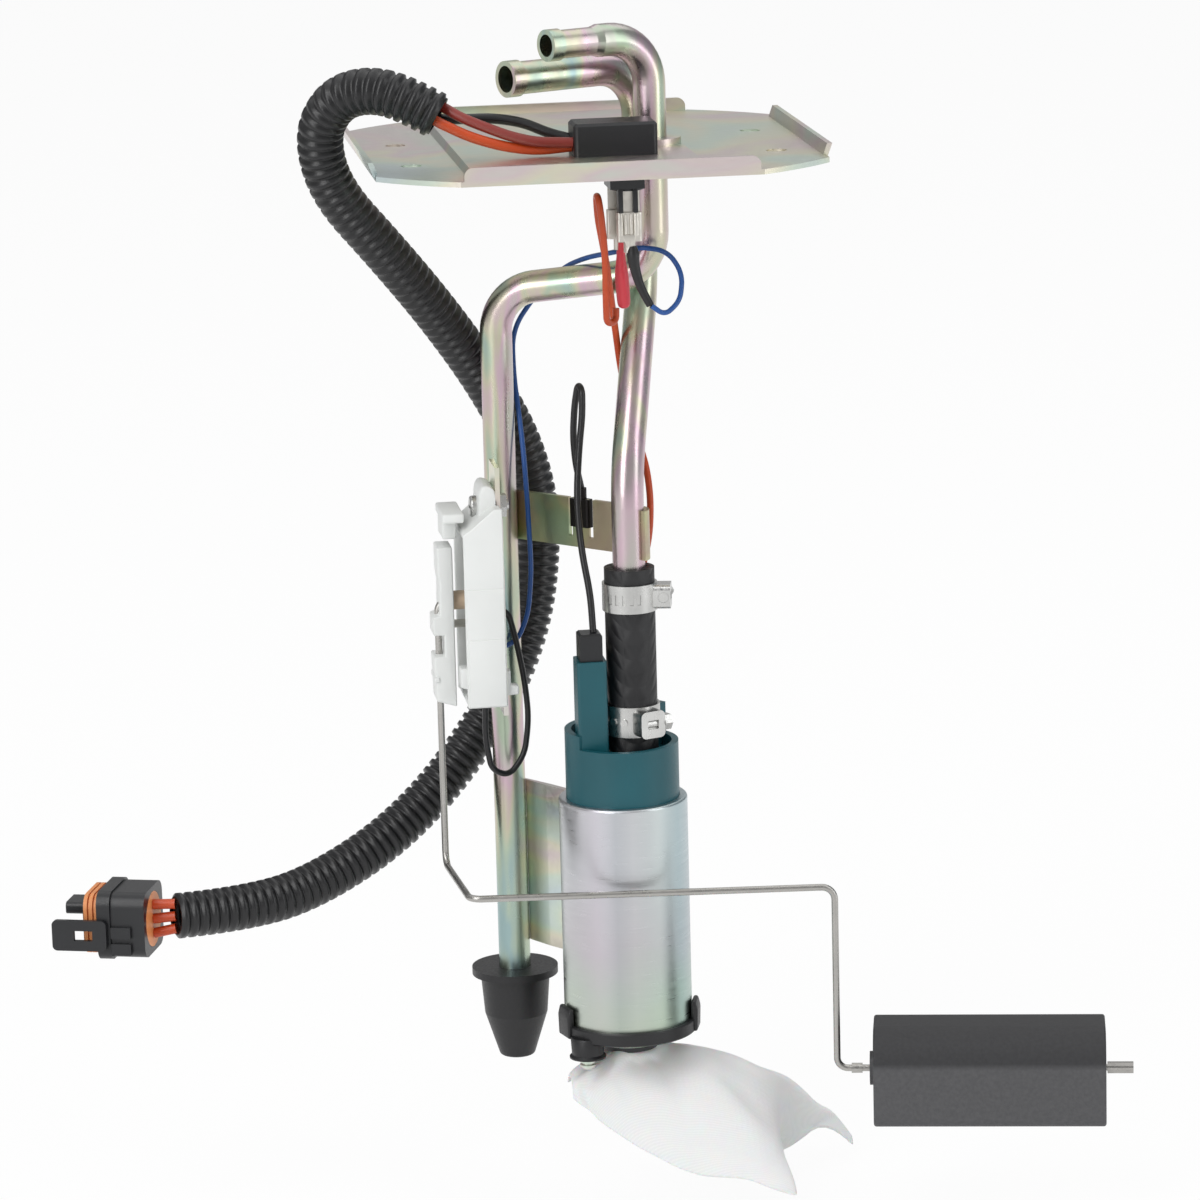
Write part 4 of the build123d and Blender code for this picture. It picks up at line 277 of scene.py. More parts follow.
black_plastic = moulding("black_plastic", linear(27, 28, 31), 0.36)
conduit_plastic = moulding("conduit_plastic", linear(24, 24, 26), 0.34)
teal_plastic = moulding("teal_plastic", linear(12, 82, 92), 0.38)
white_plastic = moulding("white_plastic", linear(226, 228, 226), 0.44, variation=0.03)
tan_plastic = moulding("tan_plastic", linear(206, 182, 156), 0.5)
card_ceramic = moulding("card_ceramic", linear(226, 226, 220), 0.6, variation=0.04)
black_rubber = moulding("black_rubber", linear(27, 27, 29), 0.42, 1500, 0.00003)
orange_seal = moulding("orange_seal", linear(226, 146, 88), 0.46)
red_sleeve = moulding("red_sleeve", linear(212, 62, 74), 0.40)
orange_wire = moulding("orange_wire", linear(190, 70, 26), 0.36)
red_wire = moulding("red_wire", linear(128, 42, 34), 0.34)
black_wire = moulding("black_wire", linear(24, 24, 26), 0.34)
blue_wire = moulding("blue_wire", linear(34, 82, 152), 0.36)
ferrite = moulding("ferrite", linear(70, 70, 72), 0.6)
print("metals and mouldings so far:", len(bpy.data.materials))

# %% [markdown]
# ## Float foam
# The float is a block of closed-cell foam. Its upper band is a darker moulded skin, so the
# colour follows height, and fine cells give it a dry, stony surface.


# %% Float foam
FOAM_SKIN_EDGE = (-0.2645, -0.2625)


def float_foam():
    material, tree, shader, place = new_finish("float_foam", 0.0, 0.62)
    height = along_axis(tree, place, "Z", *FOAM_SKIN_EDGE)
    tone = noise(tree, place, 900, 3)
    body = ramp(tree, tone, [(0.3, linear(74, 74, 76)), (0.7, linear(82, 82, 84))])
    skin = ramp(tree, tone, [(0.3, linear(44, 44, 46)), (0.7, linear(50, 50, 52))])
    tree.links.new(mix_colours(tree, height, body, skin), shader.inputs["Base Color"])
    bump(tree, shader, noise(tree, place, 1800, 3), 0.00006, 0.6)
    return material


foam = float_foam()
print("float's skin starts at z", FOAM_SKIN_EDGE)

# %% [markdown]
# ## Pump can
# The can is drawn from plated sheet: silver above, and a faint green where the chromate has
# pooled towards its foot. Across x the film's tint drifts through pink, green and teal, and painted
# reflections darken it in a band a third of the way across and towards +x. Fine marks run round
# the wall. One ramp follows height and one follows x, and they are multiplied.


# %% Pump can
CAN_HEIGHTS = (-0.257, -0.187)
CAN_SIDES = (-0.0148, 0.0210)


def drawn_can():
    material, tree, shader, place = new_finish("drawn_can", 1.0, 0.34)
    height = along_axis(tree, place, "Z", *CAN_HEIGHTS)
    wander = calculate(tree, "MULTIPLY_ADD", noise(tree, place, 60, 3), 0.35, height)
    colour = ramp(tree, wander, [
        (0.10, linear(192, 202, 182)), (0.34, linear(194, 203, 195)),
        (0.58, linear(200, 198, 202)), (0.95, linear(206, 208, 212))])
    # across x the pink and green stops are film tint, the dark stop at 0.36 is a painted reflection, and
    # the stops from 0.90 are teal tint darkened by painted reflection; being painted on object x, these
    # bands also show on the can's back
    tints_and_painted_reflections = ramp(tree, along_axis(tree, place, "X", *CAN_SIDES), [
        (0.0, (1.0, 1.0, 0.99)), (0.20, (1.0, 0.95, 0.98)), (0.36, (0.86, 0.87, 0.88)),
        (0.50, (1.0, 1.0, 0.99)), (0.72, (0.93, 0.99, 0.95)), (0.90, (0.74, 0.88, 0.88)),
        (1.0, (0.80, 0.90, 0.90))])
    tree.links.new(mix_colours(tree, 1.0, colour, tints_and_painted_reflections, "MULTIPLY"), shader.inputs["Base Color"])
    grain = noise(tree, stretched(tree, place, (120, 120, 2600)), 1, 3)
    tree.links.new(spread(tree, grain, 0.27, 0.42), shader.inputs["Roughness"])
    bump(tree, shader, grain, 0.000008, 0.4)
    return material


can_steel = drawn_can()
print("can:", round((CAN_HEIGHTS[1] - CAN_HEIGHTS[0]) * 1000), "mm tall")

# %% [markdown]
# ## Braided hose
# The hose is cured under a woven wrap, which leaves fine crossing ridges on its skin. Two
# sets of slanted waves, one each way round, give that imprint.


# %% Braided hose
WRAP_SLANT = 0.7


def wrapped_rubber():
    material, tree, shader, place = new_finish("wrapped_rubber", 0.0, 0.5)
    tone = noise(tree, place, 70, 3)
    mottle(tree, shader, tone, linear(22, 22, 24), linear(34, 34, 36))
    ridges = []
    for slant in (WRAP_SLANT, -WRAP_SLANT):
        turn = tree.nodes.new("ShaderNodeMapping")
        turn.inputs["Rotation"].default_value = (0, slant, slant)
        tree.links.new(place, turn.inputs["Vector"])
        wave = tree.nodes.new("ShaderNodeTexWave")
        wave.inputs["Scale"].default_value = 75
        wave.inputs["Distortion"].default_value = 1.2
        tree.links.new(turn.outputs["Vector"], wave.inputs["Vector"])
        ridges.append(wave.outputs["Fac"])
    bump(tree, shader, calculate(tree, "MAXIMUM", *ridges), 0.0005, 0.8)
    return material


hose_rubber = wrapped_rubber()
print("hose finish:", hose_rubber.name)

# %% [markdown]
# ## Strainer cloth
# The strainer is a bag of fine white nylon mesh, softly translucent. Two sets of fine waves at
# right angles give the weave, and cells that come and go in soft patches give its welded dots.


# %% Strainer cloth
def woven_mesh():
    material, tree, shader, place = new_finish("woven_mesh", 0.0, 0.72)
    shader.inputs["Sheen Weight"].default_value = 0.25
    shader.inputs["Sheen Roughness"].default_value = 0.5
    shader.inputs["Subsurface Weight"].default_value = 0.35
    shader.inputs["Subsurface Scale"].default_value = 0.004
    threads = []
    for axis in ("X", "Y"):
        wave = tree.nodes.new("ShaderNodeTexWave")
        wave.bands_direction = axis
        wave.inputs["Scale"].default_value = 800
        wave.inputs["Distortion"].default_value = 0.6
        tree.links.new(place, wave.inputs["Vector"])
        threads.append(wave.outputs["Fac"])
    weave = calculate(tree, "MULTIPLY", *threads)
    white = ramp(tree, weave, [(0.1, linear(230, 232, 232)), (0.9, linear(240, 241, 241))])
    tree.links.new(white, shader.inputs["Base Color"])
    dots = tree.nodes.new("ShaderNodeTexVoronoi")
    dots.inputs["Scale"].default_value = 620
    dots.inputs["Randomness"].default_value = 0.25
    tree.links.new(place, dots.inputs["Vector"])
    patches = spread(tree, noise(tree, place, 28, 2), 0.0, 1.0)
    pits = calculate(tree, "MULTIPLY", dots.outputs["Distance"], patches)
    bump(tree, shader, calculate(tree, "MULTIPLY_ADD", weave, 0.25, pits), 0.0002, 0.5)
    return material


mesh_cloth = woven_mesh()
print("cloth finish:", mesh_cloth.name)

# %% [markdown]
# ## Which solid takes which finish
# One table names the finish of every solid, inside pieces too, so nothing is left plain.

# %% Finishes
finishes = {
    zinc_sheet: ["flange_plate", "pipe_collar", "pump_cradle", "sender_plate"],
    zinc_pipe: ["return_pipe", "feed_pipe"],
    zinc_strap: ["tube_strap"],
    zinc_stud: ["isolator_stud"],
    stainless: ["upper_clamp_band", "upper_clamp_screw", "lower_clamp_band", "lower_clamp_screw",
                "sender_screw", "sender_nut", "valve_spring", "brush_springs"],
    arm_steel: ["float_wire"],
    tinned: ["spade_blades", "female_terminals", "wiper"],
    dark_terminal: ["ground_terminal"],
    brass: ["check_valve"],
    cast_aluminium: ["pump_chamber", "pump_inlet"],
    dark_iron: ["pump_armature"],
    can_steel: ["pump_can"],
    black_plastic: ["bulkhead_block", "terminal_boss", "pump_plug", "pump_impeller", "strainer_ferrule",
                    "connector_body", "connector_latch"],
    conduit_plastic: ["harness_conduit"],
    teal_plastic: ["pump_cap"],
    white_plastic: ["sender_case", "arm_carrier"],
    tan_plastic: ["hub_bush"],
    card_ceramic: ["resistor_card"],
    black_rubber: ["rubber_foot", "pump_isolator", "black_sleeve"],
    hose_rubber: ["fuel_hose"],
    orange_seal: ["connector_rear_seal", "connector_front_seal"],
    red_sleeve: ["red_sleeve"],
    orange_wire: ["orange_lead", "harness_wire_orange", "connector_pigtail"],
    red_wire: ["harness_wire_red"],
    black_wire: ["harness_wire_black", "ground_lead", "sender_lead"],
    blue_wire: ["blue_lead"],
    ferrite: ["pump_magnets", "carbon_brushes"],
    foam: ["float"],
    mesh_cloth: ["strainer_sock"],
}
for material, names in finishes.items():
    for name in names:
        nodes[name].data.materials.clear()
        nodes[name].data.materials.append(material)
print("finished:", sum(len(names) for names in finishes.values()))

# %% [markdown]
# ## Corrugated conduit
# The conduit is a blow-moulded tube with a rib every three millimetres. Its line is a smooth
# spline. A straight ribbed tube is made by extruding a circle ring by ring, a Curve modifier
# bends it along that spline, and a thin wall leaves its mouth open round the wires.

# %% Conduit's line
CONDUIT_DIAMETER = 0.0135
RIB_PITCH = 0.003
CONDUIT_POINTS = [
    (-0.0449, -0.0330, 0.0155), (-0.0553, -0.0303, 0.0217), (-0.0656, -0.0247, 0.0232),
    (-0.0738, -0.0186, 0.0192), (-0.0784, -0.0132, 0.0086), (-0.0744, -0.0090, -0.0080),
    (-0.0586, -0.0030, -0.0270), (-0.0422, 0.0070, -0.0485), (-0.0270, 0.0155, -0.0717),
    (-0.0162, 0.0190, -0.0941), (-0.0125, 0.0200, -0.1175), (-0.0170, 0.0195, -0.1496),
    (-0.0330, 0.0155, -0.1786), (-0.0582, 0.0050, -0.2038), (-0.0884, -0.0090, -0.2176),
    (-0.1115, -0.0210, -0.2189), (-0.1295, -0.0260, -0.2182),
]


def spline_through(name, points):
    """A smooth open spline whose control points are the route's points."""
    curve = bpy.data.curves.new(name, "CURVE")
    curve.dimensions = "3D"
    curve.resolution_u = 16
    spline = curve.splines.new("NURBS")
    spline.points.add(len(points) - 1)
    for control, place in zip(spline.points, points):
        control.co = (*place, 1)
    spline.order_u = 3
    spline.use_endpoint_u = True
    return place_object(name, curve)


def line_points(line):
    """The points along a spline, in order."""
    mesh = bpy.data.meshes.new_from_object(line.evaluated_get(bpy.context.evaluated_depsgraph_get()))
    points = [vertex.co.copy() for vertex in mesh.vertices]
    bpy.data.meshes.remove(mesh)
    return points


conduit_line = spline_through("conduit_line", CONDUIT_POINTS)
bpy.context.view_layer.update()
conduit_path = line_points(conduit_line)
conduit_length = sum((b - a).length for a, b in zip(conduit_path, conduit_path[1:]))
print("conduit length", round(conduit_length, 4))


# %% Ribbed tube
CONDUIT_WALL = 0.0006
RIB_VALLEY = 0.86
# one rib as shares of its pitch and of the tube's radius
RIB_PROFILE = [(0.0, RIB_VALLEY), (0.22, RIB_VALLEY), (0.34, 1.0), (0.78, 1.0), (0.90, RIB_VALLEY)]


def ribbed_tube(name, line, length, diameter, pitch, sides=32):
    """A straight tube with a rib at each pitch, bent along a line."""
    shape = bmesh.new()
    bmesh.ops.create_circle(shape, segments=sides, radius=diameter / 2 * RIB_VALLEY,
                            matrix=Matrix.Rotation(math.radians(90), 4, "Y"))
    edges = shape.edges[:]
    ribs = int(length / pitch)
    step = length / ribs
    last_place, last_size = 0.0, RIB_VALLEY
    for rib in range(ribs):
        first = 1 if rib == 0 else 0
        last = [(1.0, RIB_VALLEY)] if rib == ribs - 1 else []
        for share, size in RIB_PROFILE[first:] + last:
            grown = bmesh.ops.extrude_edge_only(shape, edges=edges)["geom"]
            edges = [item for item in grown if isinstance(item, bmesh.types.BMEdge)]
            vertices = [item for item in grown if isinstance(item, bmesh.types.BMVert)]
            place = (rib + share) * step
            bmesh.ops.translate(shape, verts=vertices, vec=(place - last_place, 0, 0))
            bmesh.ops.scale(shape, verts=vertices, vec=(1, size / last_size, size / last_size))
            last_place, last_size = place, size
    bmesh.ops.recalc_face_normals(shape, faces=shape.faces)
    mesh = bpy.data.meshes.new(name)
    shape.to_mesh(mesh)
    shape.free()
    for polygon in mesh.polygons:
        polygon.use_smooth = True
    tube = place_object(name, mesh)
    bend = tube.modifiers.new("bend", "CURVE")
    bend.object = line
    bend.deform_axis = "POS_X"
    wall = tube.modifiers.new("wall", "SOLIDIFY")
    wall.thickness = CONDUIT_WALL
    wall.offset = -1
    bpy.context.view_layer.update()
    bent = bpy.data.meshes.new_from_object(tube.evaluated_get(bpy.context.evaluated_depsgraph_get()))
    tube.modifiers.clear()
    tube.data = bent
    bpy.data.meshes.remove(mesh)
    return tube


conduit = ribbed_tube("ribbed_conduit", conduit_line, conduit_length, CONDUIT_DIAMETER, RIB_PITCH)
conduit.data.materials.append(conduit_plastic)
bpy.data.objects.remove(conduit_line)
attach(conduit, "module")
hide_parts("harness_conduit")
print("conduit faces", len(conduit.data.polygons))

# %% [markdown]
# ## Strainer bag
# The strainer is a flat bag that hangs from the ferrule. Eight sections along it give the line
# of its near edge, crown and far edge. A fine grid is drawn through them, raised into soft
# folds, pulled in to a bay at its end, and doubled into two layers that meet in a thin welded
# seam. Then the cloth settles a little, held at the ferrule and at its two ends.

# %% Bag sections
BAG_SECTIONS = [
    # x, then y and z of the near edge, near crown, ridge, far crown and far edge, in millimetres
    (-15.5, (-46, -274.5), (-44, -271), (-40, -269.5), (-36, -270.5), (-33, -273.5)),
    (-6, (-55, -281), (-47, -270), (-38, -265.2), (-29, -267), (-22, -273)),
    (6, (-61, -288.5), (-51, -271), (-38, -264.4), (-24, -267), (-14, -275)),
    (20, (-65, -294.5), (-52, -275), (-37, -265.4), (-21, -268), (-9, -277.5)),
    (34, (-67, -296), (-52, -281), (-36, -270.5), (-19, -271.5), (-6, -281.5)),
    (46, (-66, -299.5), (-51, -287), (-35, -277), (-18, -277), (-5, -286.5)),
    (58, (-42, -293.5), (-33, -289.5), (-23, -285), (-13, -284.5), (-5, -291.5)),
    (73, (-14, -303.5), (-12, -302.5), (-10, -302), (-8, -302.5), (-6, -303.5)),
]
BAG_LENGTHWISE = 56
BAG_ACROSS = 34
BAG_FULLNESS = 0.0032
SEAM_THICKNESS = 0.0007
# each fold runs from one share of the bag (along, across) to another, with a height and a width
BAG_FOLDS = [
    ((0.30, 0.62), (0.10, 0.10), 0.0022, 0.055), ((0.20, 0.60), (0.02, 0.35), -0.0024, 0.05),
    ((0.34, 0.50), (0.42, 0.08), -0.0016, 0.045), ((0.40, 0.60), (0.66, 0.10), 0.0020, 0.07),
    ((0.46, 0.62), (0.98, 0.50), 0.0018, 0.06), ((0.44, 0.44), (0.80, 0.22), -0.0012, 0.05),
    ((0.30, 0.80), (0.55, 1.00), 0.0014, 0.05), ((0.15, 0.20), (0.24, 0.02), 0.0014, 0.035),
    ((0.28, 0.12), (0.80, 0.15), -0.0024, 0.045),
]
# the end is cut in a bay between two tips: each line is a place on the bag, the pull on its
# cloth there in metres, and how far the pull reaches
BAG_PULLS = [
    ((0.86, 0.0), (-0.018, 0.001, -0.005), (0.075, 0.32)),
    ((0.715, 0.0), (0.004, -0.002, -0.002), (0.03, 0.14)),
    ((0.95, 0.0), (0.0, 0.004, 0.004), (0.035, 0.3)),
    ((1.0, 0.0), (0.002, 0.0, -0.003), (0.03, 1.5)),
]


def between(values, share):
    """A smooth curve through evenly spaced values, read at a share of its length."""
    spot = share * (len(values) - 1)
    index = min(int(spot), len(values) - 2)
    t = spot - index
    before, start = values[max(index - 1, 0)], values[index]
    end, after = values[index + 1], values[min(index + 2, len(values) - 1)]
    return 0.5 * (2 * start + (end - before) * t + (2 * before - 5 * start + 4 * end - after) * t * t
                  + (3 * start - before - 3 * end + after) * t ** 3)


def bag_point(along, across):
    """A place on the bag's middle surface, folds included."""
    rows = []
    for x, *points in BAG_SECTIONS:
        rows.append(Vector((x, *(between([point[i] for point in points], across) for i in (0, 1)))))
    place = between(rows, along) / 1000
    edge = min(1.0, 6 * min(across, 1 - across), 8 * min(along, 1 - along) + 0.2)
    for start, end, height, width in BAG_FOLDS:
        line = Vector(end) - Vector(start)
        offset = Vector((along, across)) - Vector(start)
        reach = min(1.0, max(0.0, offset.dot(line) / line.length_squared))
        distance = (offset - line * reach).length
        fade = math.sin(math.pi * (0.12 + 0.76 * reach))
        place.z += height * edge * fade * math.exp(-((distance / width) ** 2))
    for (start, side), pull, (reach, breadth) in BAG_PULLS:
        place += Vector(pull) * math.exp(-((along - start) / reach) ** 2 - ((across - side) / breadth) ** 2)
    return place


# %% Bag
def strainer_bag():
    """Two layers of cloth on one grid, joined round their edge."""
    shape = bmesh.new()
    layers = []
    for side in (1, -1):
        layer = bmesh.ops.create_grid(shape, x_segments=BAG_LENGTHWISE, y_segments=BAG_ACROSS,
                                      size=0.5)["verts"]
        for vertex in layer:
            along, across = vertex.co.x + 0.5, vertex.co.y + 0.5
            ends = min(1.0, 10 * along) * min(1.0, 10 * (1 - along))
            puff = math.sqrt(max(0.0, 1 - (2 * across - 1) ** 6)) * ends
            half = SEAM_THICKNESS / 2 + BAG_FULLNESS / 2 * puff
            vertex.co = bag_point(along, across) + Vector((0, 0, side * half - BAG_FULLNESS / 2))
        layers.append(layer)
    upper = set(layers[0])
    border = [edge for edge in shape.edges if edge.is_boundary]
    rims = [[edge for edge in border if (edge.verts[0] in upper) == wanted] for wanted in (True, False)]
    bmesh.ops.bridge_loops(shape, edges=rims[0] + rims[1])
    bmesh.ops.recalc_face_normals(shape, faces=shape.faces)
    mesh = bpy.data.meshes.new("strainer_bag")
    shape.to_mesh(mesh)
    shape.free()
    for polygon in mesh.polygons:
        polygon.use_smooth = True
    return place_object("strainer_bag", mesh)


bag = strainer_bag()
print("bag faces", len(bag.data.polygons))


# %% Settle the cloth
def settle(piece, held, frames, most):
    """Lets the cloth hang for a few frames, and caps how far any point moves."""
    before = [vertex.co.copy() for vertex in piece.data.vertices]
    grip = piece.vertex_groups.new(name="held")
    grip.add(held, 1.0, "REPLACE")
    cloth = piece.modifiers.new("cloth", "CLOTH")
    settings = cloth.settings
    settings.quality = 8
    settings.mass = 0.05
    settings.tension_stiffness = 25
    settings.compression_stiffness = 12
    settings.shear_stiffness = 8
    settings.bending_stiffness = 0.6
    settings.use_pressure = True
    settings.uniform_pressure_force = 0.6
    settings.vertex_group_mass = "held"
    cloth.point_cache.frame_start = 1
    cloth.point_cache.frame_end = frames
    for step in range(1, frames + 1):
        bpy.context.scene.frame_set(step)
    hung = bpy.data.meshes.new_from_object(piece.evaluated_get(bpy.context.evaluated_depsgraph_get()))
    piece.modifiers.clear()
    piece.vertex_groups.clear()
    bpy.context.scene.frame_set(1)
    moves = []
    for vertex, start, end in zip(piece.data.vertices, before, hung.vertices):
        move = end.co - start
        moves.append(move.length)
        if move.length > most:
            move *= most / move.length
        vertex.co = start + move
    bpy.data.meshes.remove(hung)
    print("cloth moved at most", round(max(moves) * 1000, 2), "mm")


# %% Held places
FERRULE_PLACE, FERRULE_REACH = (0.0031, -0.035), 0.009
HELD_ENDS = (-0.013, 0.068)
SETTLE_FRAMES, SETTLE_MOST = 12, 0.0025
held = [v.index for v in bag.data.vertices
        if math.hypot(v.co.x - FERRULE_PLACE[0], v.co.y - FERRULE_PLACE[1]) < FERRULE_REACH
        or v.co.x < HELD_ENDS[0] or v.co.x > HELD_ENDS[1]]
print("held points", len(held), "of", len(bag.data.vertices))
settle(bag, held, SETTLE_FRAMES, SETTLE_MOST)
bag.data.materials.append(mesh_cloth)
smooth = bag.modifiers.new("smooth", "SUBSURF")
smooth.levels = 1
smooth.render_levels = 1
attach(bag, "module")
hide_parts("strainer_sock")

# %% [markdown]
# ## Blocks, turned pieces and sleeves
# The mouldings are thin-walled boxes with rounded edges, the rubber round the pump is turned,
# and the sleeves are soft tubes that swell over what they cover. One helper makes each kind:
# a face extruded through a depth and bevelled, a profile spun round an upright axis, and rings
# of a given radius bridged along a line.


# %% Shape helpers
def join(shape, part):
    """Adds one bmesh to another."""
    mesh = bpy.data.meshes.new("part")
    part.to_mesh(mesh)
    part.free()
    shape.from_mesh(mesh)
    bpy.data.meshes.remove(mesh)


def add_block(shape, outline, near, far, bevel=0.0004):
    """An outline in millimetres across x and z, carried from one depth y to another."""
    part = bmesh.new()
    corners = [part.verts.new((x / 1000, near / 1000, z / 1000)) for x, z in outline]
    grown = bmesh.ops.extrude_face_region(part, geom=[part.faces.new(corners)])["geom"]
    moved = [item for item in grown if isinstance(item, bmesh.types.BMVert)]
    bmesh.ops.translate(part, verts=moved, vec=(0, (far - near) / 1000, 0))
    bmesh.ops.bevel(part, geom=part.edges[:], offset=bevel, segments=3, profile=0.5, affect="EDGES",
                    material=-1)
    bmesh.ops.recalc_face_normals(part, faces=part.faces)
    join(shape, part)


def add_turned(shape, profile, centre, sides=64):
    """A closed profile of (radius, z) in millimetres, spun round an upright axis."""
    part = bmesh.new()
    corners = [part.verts.new((radius / 1000, 0, z / 1000)) for radius, z in profile]
    edges = [part.edges.new((a, b)) for a, b in zip(corners, corners[1:] + corners[:1])]
    bmesh.ops.spin(part, geom=corners + edges, cent=(0, 0, 0), axis=(0, 0, 1), angle=math.tau, steps=sides,
                   use_merge=True)
    bmesh.ops.remove_doubles(part, verts=part.verts, dist=0.00001)
    bmesh.ops.translate(part, verts=part.verts, vec=(centre[0] / 1000, centre[1] / 1000, 0))
    bmesh.ops.recalc_face_normals(part, faces=part.faces)
    join(shape, part)


def add_sleeve(shape, places, radii, sides=20):
    """Rings in millimetres, each square to the line, bridged into a tube with closed ends."""
    part = bmesh.new()
    count = 6 * (len(places) - 1)
    line = [Vector([between([place[i] for place in places], k / count) for i in range(3)])
            for k in range(count + 1)]
    rims = []
    for k, place in enumerate(line):
        way = (line[min(k + 1, count)] - line[max(k - 1, 0)]).to_track_quat("Z", "X").to_matrix().to_4x4()
        radius = between(radii, k / count) / 1000
        ring = set(bmesh.ops.create_circle(part, segments=sides, radius=radius, cap_ends=k in (0, count),
                                           matrix=Matrix.Translation(place / 1000) @ way)["verts"])
        rims.append([edge for edge in part.edges if edge.verts[0] in ring])
    for first, second in zip(rims, rims[1:]):
        bmesh.ops.bridge_loops(part, edges=first + second)
    bmesh.ops.recalc_face_normals(part, faces=part.faces)
    join(shape, part)


# %% Finish a piece
def finish_piece(name, shape, material, body="module", replaces=()):
    """Turns a bmesh into a piece that rides on a body, with its finish and slot."""
    mesh = bpy.data.meshes.new(name)
    shape.to_mesh(mesh)
    shape.free()
    mesh.shade_smooth()
    mesh.set_sharp_from_angle(angle=math.radians(35))
    mesh.materials.append(material)
    piece = place_object(name, mesh)
    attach(piece, body)
    if replaces:
        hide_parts(*replaces)
    print(name, "faces", len(mesh.polygons))
    return piece


# %% [markdown]
# ## Sender housing
# The sender's case is a white moulding that opens towards the arm. Its roof slopes up to the
# mounting plate, its front wall thickens in two steps towards the foot, and a shelf, a rounded
# lug and a small hook stand off it. Walls are separate blocks, each a hair shorter than the next.

# %% Sender housing
housing = bmesh.new()
CASE_NEAR, CASE_FAR, CASE_WALL = -32.0, -4.0, 1.7
side_wall = [(-41.5, -107.2), (-39.4, -105.9), (-32.4, -100.0), (-29.8, -100.0), (-29.8, -159.2),
             (-41.5, -159.2)]
roof = [(-41.3, -107.1), (-39.4, -106.0), (-32.4, -100.1), (-30.0, -100.1), (-30.0, -102.0),
        (-33.0, -102.0), (-40.0, -108.0), (-41.3, -109.0)]
add_block(housing, side_wall, CASE_NEAR, CASE_NEAR + CASE_WALL)
add_block(housing, side_wall, CASE_FAR - CASE_WALL, CASE_FAR)
add_block(housing, [(-31.9, -100.4), (-29.9, -100.4), (-29.9, -158.9), (-31.9, -158.9)], -31.9, -4.1)
add_block(housing, [(-41.3, -157.4), (-30.0, -157.4), (-30.0, -159.0), (-41.3, -159.0)], -31.8, -4.2)
add_block(housing, roof, -31.8, -4.2)
first_step = [(-41.1, -123.6), (-30.0, -123.6), (-30.0, -158.9), (-41.3, -158.9)]
second_step = [(-40.8, -138.6), (-30.1, -138.6), (-30.1, -158.7), (-41.0, -158.7)]
add_block(housing, first_step, -32.5, -31.4, 0.0003)
add_block(housing, second_step, -33.0, -32.0, 0.0003)
lug = [(-36.4, -105), (-35.7, -96.0), (-34.8, -94.4), (-33.2, -94.1), (-31.2, -95.4), (-29.8, -99),
       (-29.8, -105)]
add_block(housing, lug, -25.5, -10.5, 0.0009)
add_block(housing, [(-47.0, -101.6), (-40.6, -101.6), (-40.6, -104.4), (-47.0, -104.4)], -28, -8, 0.0007)
add_block(housing, [(-46.8, -104), (-42.6, -104), (-42.6, -109.8), (-46.8, -109.8)], -24, -12, 0.0006)
add_block(housing, [(-43.4, -147.2), (-41, -147.2), (-41, -153.6), (-43.4, -152.8)], -31.6, -26)
hook = [(-31.4, -148.6), (-28.6, -148.6), (-28.6, -153.0), (-26.2, -153.4), (-26.2, -156.0),
        (-31.4, -156.3)]
add_block(housing, hook, -30.6, -26.6, 0.0005)
finish_piece("sender_housing", housing, white_plastic, replaces=["sender_case"])

# %% [markdown]
# ## Arm carrier
# The carrier is a white lever that clips over the wire. The wire leaves it near the pivot,
# dives back in, and shows again in a notch lower down, so the outline has those bites.

# %% Arm carrier
carrier = bmesh.new()
lever = [(-48.4, -112.4), (-43.9, -112.4), (-43.9, -160.4), (-49.8, -158.6), (-50.2, -145.2),
         (-46.9, -145.2), (-46.9, -138.8), (-50.2, -138.8), (-50.2, -133.4), (-48.1, -132.8),
         (-47.9, -123.4), (-48.4, -120.3)]
clip_rib = [(-50.2, -151.2), (-48.9, -151.2), (-48.9, -152.6), (-50.2, -152.6)]
add_block(carrier, lever, -23.3, -12.7, 0.0005)
add_block(carrier, clip_rib, -23.9, -12.2, 0.0002)
finish_piece("carrier_lever", carrier, white_plastic, "float_arm", ["arm_carrier"])

# %% [markdown]
# ## Rubber round the pump's foot
# A thin rubber ring grips the can's foot between three lobes, and its ear is a small cup with
# a flared rim over the stud. Inside the ring the silvery foot of the pump shows.

# %% Isolator
isolator = bmesh.new()
PUMP_AXIS = (3.1, -35.0)
EAR_REACH, EAR_ANGLE = 17.6, math.radians(218)
EAR_AXIS = (PUMP_AXIS[0] + EAR_REACH * math.cos(EAR_ANGLE), PUMP_AXIS[1] + EAR_REACH * math.sin(EAR_ANGLE))
LOBE_ANGLES = (196, 344, 90)
ring = [(19.05, -254.6), (20.3, -254.6), (20.6, -255.0), (20.6, -258.2), (20.1, -258.7),
        (14.0, -258.7), (14.0, -257.15), (19.05, -257.15)]
ear_cup = [(1.7, -257.2), (4.7, -257.2), (5.0, -257.7), (4.7, -262.4), (5.4, -263.0), (5.4, -263.5),
           (5.1, -263.6), (1.7, -263.6)]
lobe_outline = [(19.2, -258.4), (21.1, -258.4), (21.3, -252), (20.6, -249.3), (19.2, -249.3)]
add_turned(isolator, ring, PUMP_AXIS, 96)
add_turned(isolator, ear_cup, EAR_AXIS)
for angle in LOBE_ANGLES:
    lobe = bmesh.new()
    add_block(lobe, lobe_outline, -3.8, 3.8, 0.0006)
    turn = Matrix.Rotation(math.radians(angle), 3, "Z")
    bmesh.ops.rotate(lobe, verts=lobe.verts, cent=(0, 0, 0), matrix=turn)
    bmesh.ops.translate(lobe, verts=lobe.verts, vec=(PUMP_AXIS[0] / 1000, PUMP_AXIS[1] / 1000, 0))
    join(isolator, lobe)
finish_piece("foot_isolator", isolator, black_rubber, replaces=["pump_isolator"])

